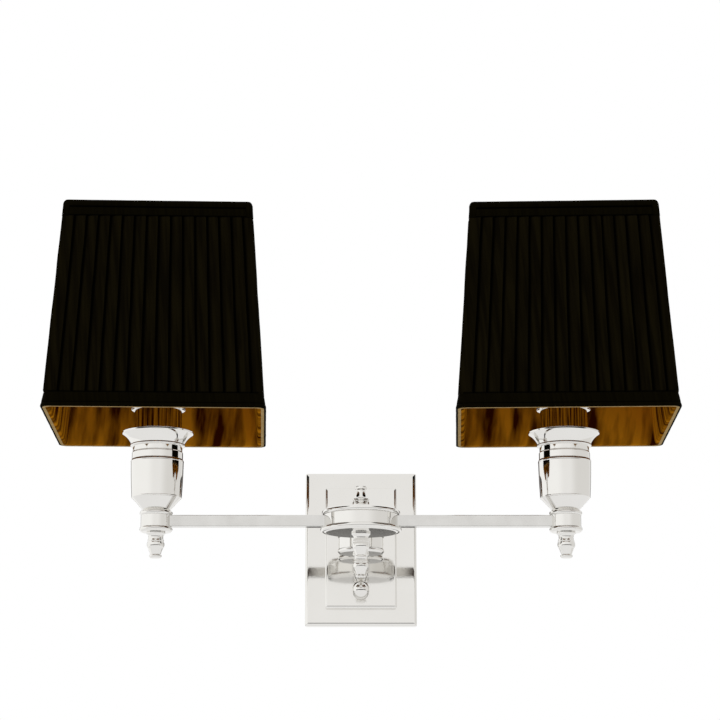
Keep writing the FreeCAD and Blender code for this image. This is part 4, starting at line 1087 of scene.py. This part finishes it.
def cloth_material(name, dark, light, shine, threads, streaks, lift):
    """Woven cloth: its colour runs between two tones with the slubs, and its threads stand up a little.
    A float attribute on its mesh paints shade into it: painted shade deep in folds, along seams and at tucked
    ends."""
    material, tree, surface = new_material(name)
    woven = placed_group(tree, weave, Threads=threads, Streaks=streaks)
    painted_shade = add(tree, "ShaderNodeAttribute", output="Fac", attribute_name="painted_shade")
    tone = between(tree, woven["SlubAndSheen"], dark, light)
    shader = add(tree, "ShaderNodeBsdfPrincipled", {
        "Base Color": between(tree, painted_shade, tone, tuple(value * FOLD_PAINTED_SHADE for value in dark)),
        "Roughness": ranged(tree, woven["SlubAndSheen"], *shine["roughness"]),
        "Normal": raised(tree, woven["Thread"], lift, 0.0001),
        "Specular IOR Level": shine["specular"],
        "Specular Tint": (*shine["tint"], 1)})
    tree.links.new(shader, surface)
    return material


weave = cloth_weave()
pleated = cloth_material("pleated_cover_cloth", (0.0034, 0.0025, 0.0009), (0.0086, 0.0065, 0.0022), COTTON,
                         threads=14000, streaks=260, lift=0.35)
binding = cloth_material("binding_cloth", (0.0026, 0.0019, 0.0005), (0.0046, 0.0036, 0.0010), COTTON,
                         threads=14000, streaks=500, lift=0.35)
# The lining's tones run from deep red-brown to bright gold: its slubs, and also its painted sheen and the
# painted shade of its soft folds.
satin = cloth_material("satin_lining_cloth", (0.05, 0.007, 0.0003), (0.66, 0.26, 0.010), SATIN,
                       threads=20000, streaks=75, lift=0.08)
# The lining's satin again, in lighter tones where it turns under the hem: painted light, for that edge faces
# the light outside the shade.
satin_painted_lit = cloth_material("satin_hem_painted_lit_cloth", (0.54, 0.37, 0.15), (0.74, 0.53, 0.26), SATIN,
                            threads=20000, streaks=300, lift=0.08)


# ---- Shade: pleated cover ----
# One length of cloth, knife-pleated all to the same hand: each pleat shows a flat face and
# tucks back under it, a narrow groove lies between two folds, and the cloth goes round each corner.
PLEATS_PER_SIDE, PLEAT_ROWS = 16, 28
CLOTH, UNEVEN, CORNER_DEPTH = 0.18, 1.2, 1.6
PLEAT_SECTION = [(0.0, 0.0), (0.13, 0.06), (0.18, 0.5), (0.24, 0.9), (0.36, 1.3), (0.56, 1.55),
                 (0.80, 1.72), (0.93, 1.78), (0.985, 1.75), (1.02, 1.6), (1.03, 1.35), (1.01, 1.15),
                 (0.90, 0.95), (0.72, 0.75), (0.6, 0.62), (0.57, 0.5), (0.6, 0.38), (0.76, 0.2),
                 (0.92, 0.06), (1.0, 0.0)]
# Depths in a pleat's section that set its painted shade: none above the first, full below the second.
FACE_DEPTH, FOLD_DEPTH = 1.2, 0.5         # lit above the first, dark below the second
GROOVE_INSET, MERGED = COVER_INSIDE - 0.7, 0.02
TOP_BAND, BOTTOM_BAND = 13.4, 11.5
PLEATS_LOW, PLEATS_HIGH = SHADE_BOTTOM + BAND, SHADE_TOP - 3.0
PRESSED = 0.25                            # of a pleat's depth, under the bands
CORNER_ROUND, CORNER_SHARPNESS, CORNER_PLEAT = 0.012, 30.0, (0.955, 0.965)


def pleat_strip(bm):
    """One pleat before it is set in its row: X counts pleats, Y is its depth and Z the height.
    It stands free between the bands and is pressed flat under them."""
    low, high = SHADE_BOTTOM + BOTTOM_BAND, SHADE_TOP - TOP_BAND
    levels = [(PLEATS_LOW, PRESSED), (low - 1.0, PRESSED), (low + 0.3, 0.8), (low + 1.2, 1.0)]
    levels += [(low + (high - low) * row / PLEAT_ROWS, 1.0) for row in range(1, PLEAT_ROWS)]
    levels += [(high - 1.2, 1.0), (high - 0.3, 0.8), (high + 1.0, PRESSED), (PLEATS_HIGH, PRESSED)]
    painted_shade, standing = bm.verts.layers.float.new("painted_shade"), bm.verts.layers.float.new("stands")
    grid = [[bm.verts.new((share, -depth * stands * MM, z * MM)) for share, depth in PLEAT_SECTION]
            for z, stands in levels]
    # Painted shade: darker the deeper a point lies in the pleat, and full where the pleats are pressed under
    # the bands.
    for line, (z, stands) in zip(grid, levels):
        for vert, (share, depth) in zip(line, PLEAT_SECTION):
            vert[painted_shade] = min(1.0, max(0.0, (FACE_DEPTH - depth * stands ** 4) / (FACE_DEPTH - FOLD_DEPTH)))
            vert[standing] = stands
    for below, above in zip(grid, grid[1:]):
        for i in range(len(PLEAT_SECTION) - 1):
            bm.faces.new((below[i], below[i + 1], above[i + 1], above[i]))


def pleated_sides():
    """A geometry tree that sets pleats side by side, tapers the row, and stands it on all four sides."""
    sizes = ("Low", "High", "Half Low", "Half High", "Corner", "Corner Round", "Uneven")
    inputs = {"Geometry": "Geometry", **dict.fromkeys(sizes, "Float"), "Count": "Int", "Finish": "Material"}
    tree, given, made = new_group("pleated_sides", "GeometryNodeTree", inputs, {"Geometry": "Geometry"})

    def times(first, second):
        return reckon(tree, "MULTIPLY", first, second)

    def vector(operation, first, second):
        return add(tree, "ShaderNodeVectorMath", {0: first, 1: second}, operation=operation)

    row = add(tree, "GeometryNodeMeshLine", {"Count": given["Count"], "Offset": (1, 0, 0)})
    side_by_side = add(tree, "GeometryNodeInstanceOnPoints", {"Points": row, "Instance": given["Geometry"]})
    real = add(tree, "GeometryNodeRealizeInstances", {0: side_by_side})

    at = add(tree, "GeometryNodeInputPosition")
    x, y, z = split(tree, at)
    half = ranged(tree, z, given["Half Low"], given["Half High"], given["Low"], given["High"])
    stands = add(tree, "GeometryNodeInputNamedAttribute", {"Name": "stands"})
    painted_shade = add(tree, "GeometryNodeInputNamedAttribute", {"Name": "painted_shade"})
    from_middle = reckon(tree, "SUBTRACT", times(reckon(tree, "DIVIDE", x, given["Count"]), 2.0), 1.0)
    stood = times(given["Corner"], stands)
    off_middle = reckon(tree, "ABSOLUTE", from_middle)
    corner = ranged(tree, off_middle, 0, 1, *CORNER_PLEAT)
    deep = reckon(tree, "MINIMUM", y, times(stood, times(corner, -1.0)))
    along = times(from_middle, reckon(tree, "ADD", half, stood))
    out = reckon(tree, "SUBTRACT", deep, half)
    near_corner = reckon(tree, "POWER", off_middle, CORNER_SHARPNESS)
    rounded = reckon(tree, "SUBTRACT", 1.0, times(near_corner, given["Corner Round"]))
    tapered = add(tree, "ShaderNodeCombineXYZ",
                  {"X": times(along, rounded), "Y": times(out, rounded), "Z": z})
    # The folds' painted shade, left off the pleat that turns round each corner.
    shade = times(painted_shade, reckon(tree, "SUBTRACT", 1.0, corner))
    opened = add(tree, "GeometryNodeStoreNamedAttribute", {"Geometry": real, "Name": "painted_shade", "Value": shade})
    taper = add(tree, "GeometryNodeSetPosition", {"Geometry": opened, "Position": tapered})

    sides = add(tree, "GeometryNodeMeshLine", {"Count": 4, "Offset": (0, 0, 0)})
    quarter = times(add(tree, "GeometryNodeInputIndex"), math.pi / 2)
    turned = add(tree, "ShaderNodeCombineXYZ", {"Z": quarter})
    all_round = add(tree, "GeometryNodeInstanceOnPoints",
                    {"Points": sides, "Instance": taper, "Rotation": turned})
    joined = add(tree, "GeometryNodeRealizeInstances", {0: all_round})
    merged = add(tree, "GeometryNodeMergeByDistance", {"Geometry": joined, "Distance": MERGED * MM})

    drift = add(tree, "ShaderNodeTexNoise", {"Vector": vector("MULTIPLY", at, (140, 140, 16)), "Scale": 1.0,
                                             "Detail": 1}, "Color")
    centred = vector("SUBTRACT", drift, (0.5, 0.5, 0.5))
    sized = add(tree, "ShaderNodeVectorMath", {0: centred, "Scale": times(given["Uneven"], stands)},
                operation="SCALE")
    uneven = add(tree, "GeometryNodeSetPosition",
                 {"Geometry": merged, "Offset": vector("MULTIPLY", sized, (1, 1, 0))})
    finished = add(tree, "GeometryNodeSetMaterial", {"Geometry": uneven, "Material": given["Finish"]})
    tree.links.new(finished, made["Geometry"])
    return tree


def thickened(piece, thickness, offset=0.0):
    """Gives a single skin its cloth's thickness."""
    body = piece.modifiers.new("cloth_thickness", "SOLIDIFY")
    body.thickness = thickness * MM
    body.offset = offset
    return piece


pleats = pleated_sides()
for side, sign in SIDES.items():
    cover = mesh_piece(f"pleated_cloth_{side}", pleat_strip, pleated)
    patterned(cover, pleats, Count=PLEATS_PER_SIDE, Low=PLEATS_LOW * MM, High=PLEATS_HIGH * MM,
              Half_Low=(half_size(PLEATS_LOW) - GROOVE_INSET) * MM,
              Half_High=(half_size(PLEATS_HIGH) - GROOVE_INSET) * MM, Corner=CORNER_DEPTH * MM,
              Corner_Round=CORNER_ROUND, Uneven=UNEVEN * MM, Finish=pleated)
    cover.data.shade_smooth()
    fitted(thickened(placed(cover, sign), CLOTH, -1.0), f"shade_{side}", "pleated_fabric",
                          f"shade_cover_{side}")


# ---- Shade: bands, satin turn and lining ----
# The top is bound with a roll over a flat strip. The bottom band stands out a little and
# ends in a roll, and the satin lining is brought down, round under the edge.
LINING, TURN_IN = 0.6, 5.0
LINING_OUTSIDE = COVER_INSIDE + 2 * FRAME_WIRE
LINING_INSIDE = LINING_OUTSIDE + LINING
BAND_INSIDE = LINING_INSIDE + BAND
BAND_CORNER, TOP_CORNER, HEM_CORNER = 3.0, 4.0, 8.0
TOP_ROLL, ROLL_CROWN, CORNER_WRAP, SATIN_TURN, HEM_DROP = 5.8, 0.5, 5.6, 2.9, 0.7
STILL_FADE, SEAM_REACH, LINING_ROWS = 12.0, 0.35, 24


def soft_square(half, corner, count=36, bend=5):
    """Points round a square with rounded corners, close enough together to wrinkle."""
    points = []
    straight = half - corner
    for quarter in range(4):
        spin = Matrix.Rotation(math.radians(90 * quarter), 2)
        for step in range(count):
            points.append(spin @ Vector((half, -straight + 2 * straight * step / count)))
        for step in range(bend):
            angle = math.radians(90 * step / bend)
            rounded = Vector((math.cos(angle), math.sin(angle))) * corner
            points.append(spin @ (Vector((straight, straight)) + rounded))
    return points


def wrinkled(point, size, fine, along):
    """A small in and out push that changes slowly along the cloth and quicker across it."""
    place = Vector((point.x, point.y, point.z * along)) * fine
    return noise.noise(place) * size


def cloth_ring(bm, section, corner, size, fine=0.09, along=4.0, flare=None, closed=True, seams=(),
               still=None):
    """A square ring of cloth through a section of (inset, height) points, with painted shade at the heights
    of its seams. Where it lies still below one height and above another, it ripples between them, inwards
    only."""
    loops = []
    for inset, z in section:
        half = half_size(z) - inset + (flare(z) if flare else 0)
        loop = []
        for point in soft_square(half, max(corner - inset, 0.3)):
            place = Vector((point.x, point.y, z))
            push = wrinkled(place, size, fine, along)
            if still:
                push = (push - size) / 2 * min(1.0, max(0.0, min(z - still[0], still[1] - z) / STILL_FADE))
            outward = Vector((point.x, point.y, 0)).normalized()
            loop.append((place + outward * push) * MM)
        loops.append(loop)
    painted_shade = bm.verts.layers.float.new("painted_shade")
    for row, (inset, z) in zip(skin_loops(bm, loops, closed), section):
        for vert in row:
            vert[painted_shade] = 1.0 if any(abs(z - seam) < SEAM_REACH for seam in seams) else 0.0


def top_roll(bm):
    top, low = SHADE_TOP + ROLL_CROWN, SHADE_TOP - TOP_ROLL
    cloth_ring(bm, [(1.1, low), (0.5, low + 0.15), (0.1, low + 0.9), (-0.1, low + 2.3), (0.0, top - 3.2),
                    (0.5, top - 1.7), (1.6, top - 0.5), (3.0, top), (BAND_INSIDE - 0.6, top),
                    (BAND_INSIDE, top - 0.6), (BAND_INSIDE, top - TURN_IN), (LINING_INSIDE, top - TURN_IN),
                    (LINING_INSIDE, top - 1.5), (2.6, top - 1.5)], TOP_CORNER, size=0.2, seams=[low])


def top_strip(bm):
    top, low = SHADE_TOP - TOP_ROLL - 0.15, SHADE_TOP - TOP_BAND
    cloth_ring(bm, [(1.1, top), (0.75, top - 0.3), (0.4, top - 1.0), (0.35, (top + low) / 2),
                    (0.3, low + 0.9), (0.4, low + 0.3), (0.8, low), (1.2, low), (1.2, top)], BAND_CORNER,
               size=0.2, seams=[low, top])


def top_corners(bm):
    """The binding's ends, wrapped round each corner and tucked down beside it."""
    levels = [SHADE_TOP - TOP_BAND - 0.3, SHADE_TOP - TOP_BAND / 2, SHADE_TOP - TOP_ROLL * 0.6]
    painted_shade = bm.verts.layers.float.new("painted_shade")
    for quarter in range(4):
        spin = Matrix.Rotation(math.radians(90 * quarter), 3, "Z")
        rows = []
        for z in levels:
            half = half_size(z) - 0.05
            end, middle = half - CORNER_WRAP, half - BAND_CORNER
            path = [(half - 0.3, end - 0.3), (half, end), (half, middle - 1)]
            for step in range(6):
                angle = math.radians(18 * step)
                path.append((middle + BAND_CORNER * math.cos(angle), middle + BAND_CORNER * math.sin(angle)))
            path += [(middle - 1, half), (end, half), (end - 0.3, half - 0.3)]
            rows.append([bm.verts.new(spin @ Vector((x, y, z)) * MM) for x, y in path])
        for below, above in zip(rows, rows[1:]):
            for i in range(len(below) - 1):
                bm.faces.new((below[i], below[i + 1], above[i + 1], above[i]))
        # Painted shade along the tucked edges of each wrap.
        for row in rows:
            row[0][painted_shade] = row[-1][painted_shade] = 1.0


def hem_flare(z):
    return HEM_FLARE * (1 - (z - SHADE_BOTTOM + HEM_DROP) / (BOTTOM_BAND + HEM_DROP))


def bottom_band(bm):
    low, high = SHADE_BOTTOM - HEM_DROP, SHADE_BOTTOM + BOTTOM_BAND
    cloth_ring(bm, [(0.9, high), (0.45, high - 0.15), (0.25, high - 0.7), (0.2, low + 8.5), (0.2, low + 6.0),
                    (0.2, low + 4.2), (0.5, low + 3.6), (0.15, low + 3.1), (0.0, low + 2.0), (0.1, low + 0.9),
                    (0.5, low + 0.25), (1.0, low + 0.1), (1.8, low + 0.1), (1.8, low + 0.9),
                    (1.0 + HEM_FLARE, low + 1.2), (1.0 + HEM_FLARE * 0.6, low + 6.0), (1.0, high - 0.1)],
               HEM_CORNER, size=0.2, along=9.0, flare=hem_flare, seams=[high, low + 3.6])


def satin_turn(bm):
    low, edge, inside = SHADE_BOTTOM - HEM_DROP, 1.9 - HEM_FLARE, SATIN_TURN + 0.8
    cloth_ring(bm, [(edge, low + 0.3), (edge + 0.5, low - 0.05), (SATIN_TURN, low), (inside, low + 0.5),
                    (inside, low + 0.9), (edge, low + 0.9)], HEM_CORNER, size=0.1)


def lining_skin(bm):
    """The lining as one skin, drawn tight, with long soft ripples down each side. Its foot goes
    round the wire."""
    hem, low, high, inset = SHADE_BOTTOM - HEM_DROP, SHADE_BOTTOM + 5.0, SHADE_TOP - 1.0, LINING_OUTSIDE + 0.9
    section = [(SATIN_TURN, hem + 0.3), (inset - 1.6, hem + 0.45), (inset - 0.7, hem + 1.0),
               (inset - 0.3, hem + 2.2)]
    section += [(inset, low + (high - low) * row / LINING_ROWS) for row in range(LINING_ROWS + 1)]
    cloth_ring(bm, section, LINING_OUTSIDE + 2.0, size=1.1, fine=0.06, along=0.3, closed=False,
               still=(low, high - TURN_IN))


for side, sign in SIDES.items():
    body = f"shade_{side}"
    bands = [placed(mesh_piece(f"{name}_{side}", build, binding), sign)
             for name, build in (("top_rolled_edge", top_roll), ("top_flat_band", top_strip),
                                 ("top_corner_wraps", top_corners), ("bottom_flared_band", bottom_band))]
    thickened(bands[2], 0.25, -1.0)
    for band, nodes in zip(bands, ([f"shade_top_band_{side}"], [], [], [f"shade_bottom_band_{side}"])):
        fitted(band, body, "band_fabric", *nodes)
    turn_under = fitted(placed(mesh_piece(f"satin_turned_edge_{side}", satin_turn, satin_painted_lit), sign), body,
                        "satin_lining")
    lining = placed(mesh_piece(f"satin_lining_{side}", lining_skin, satin), sign)
    fitted(thickened(lining, LINING * 0.5), body, "satin_lining", f"shade_lining_{side}")
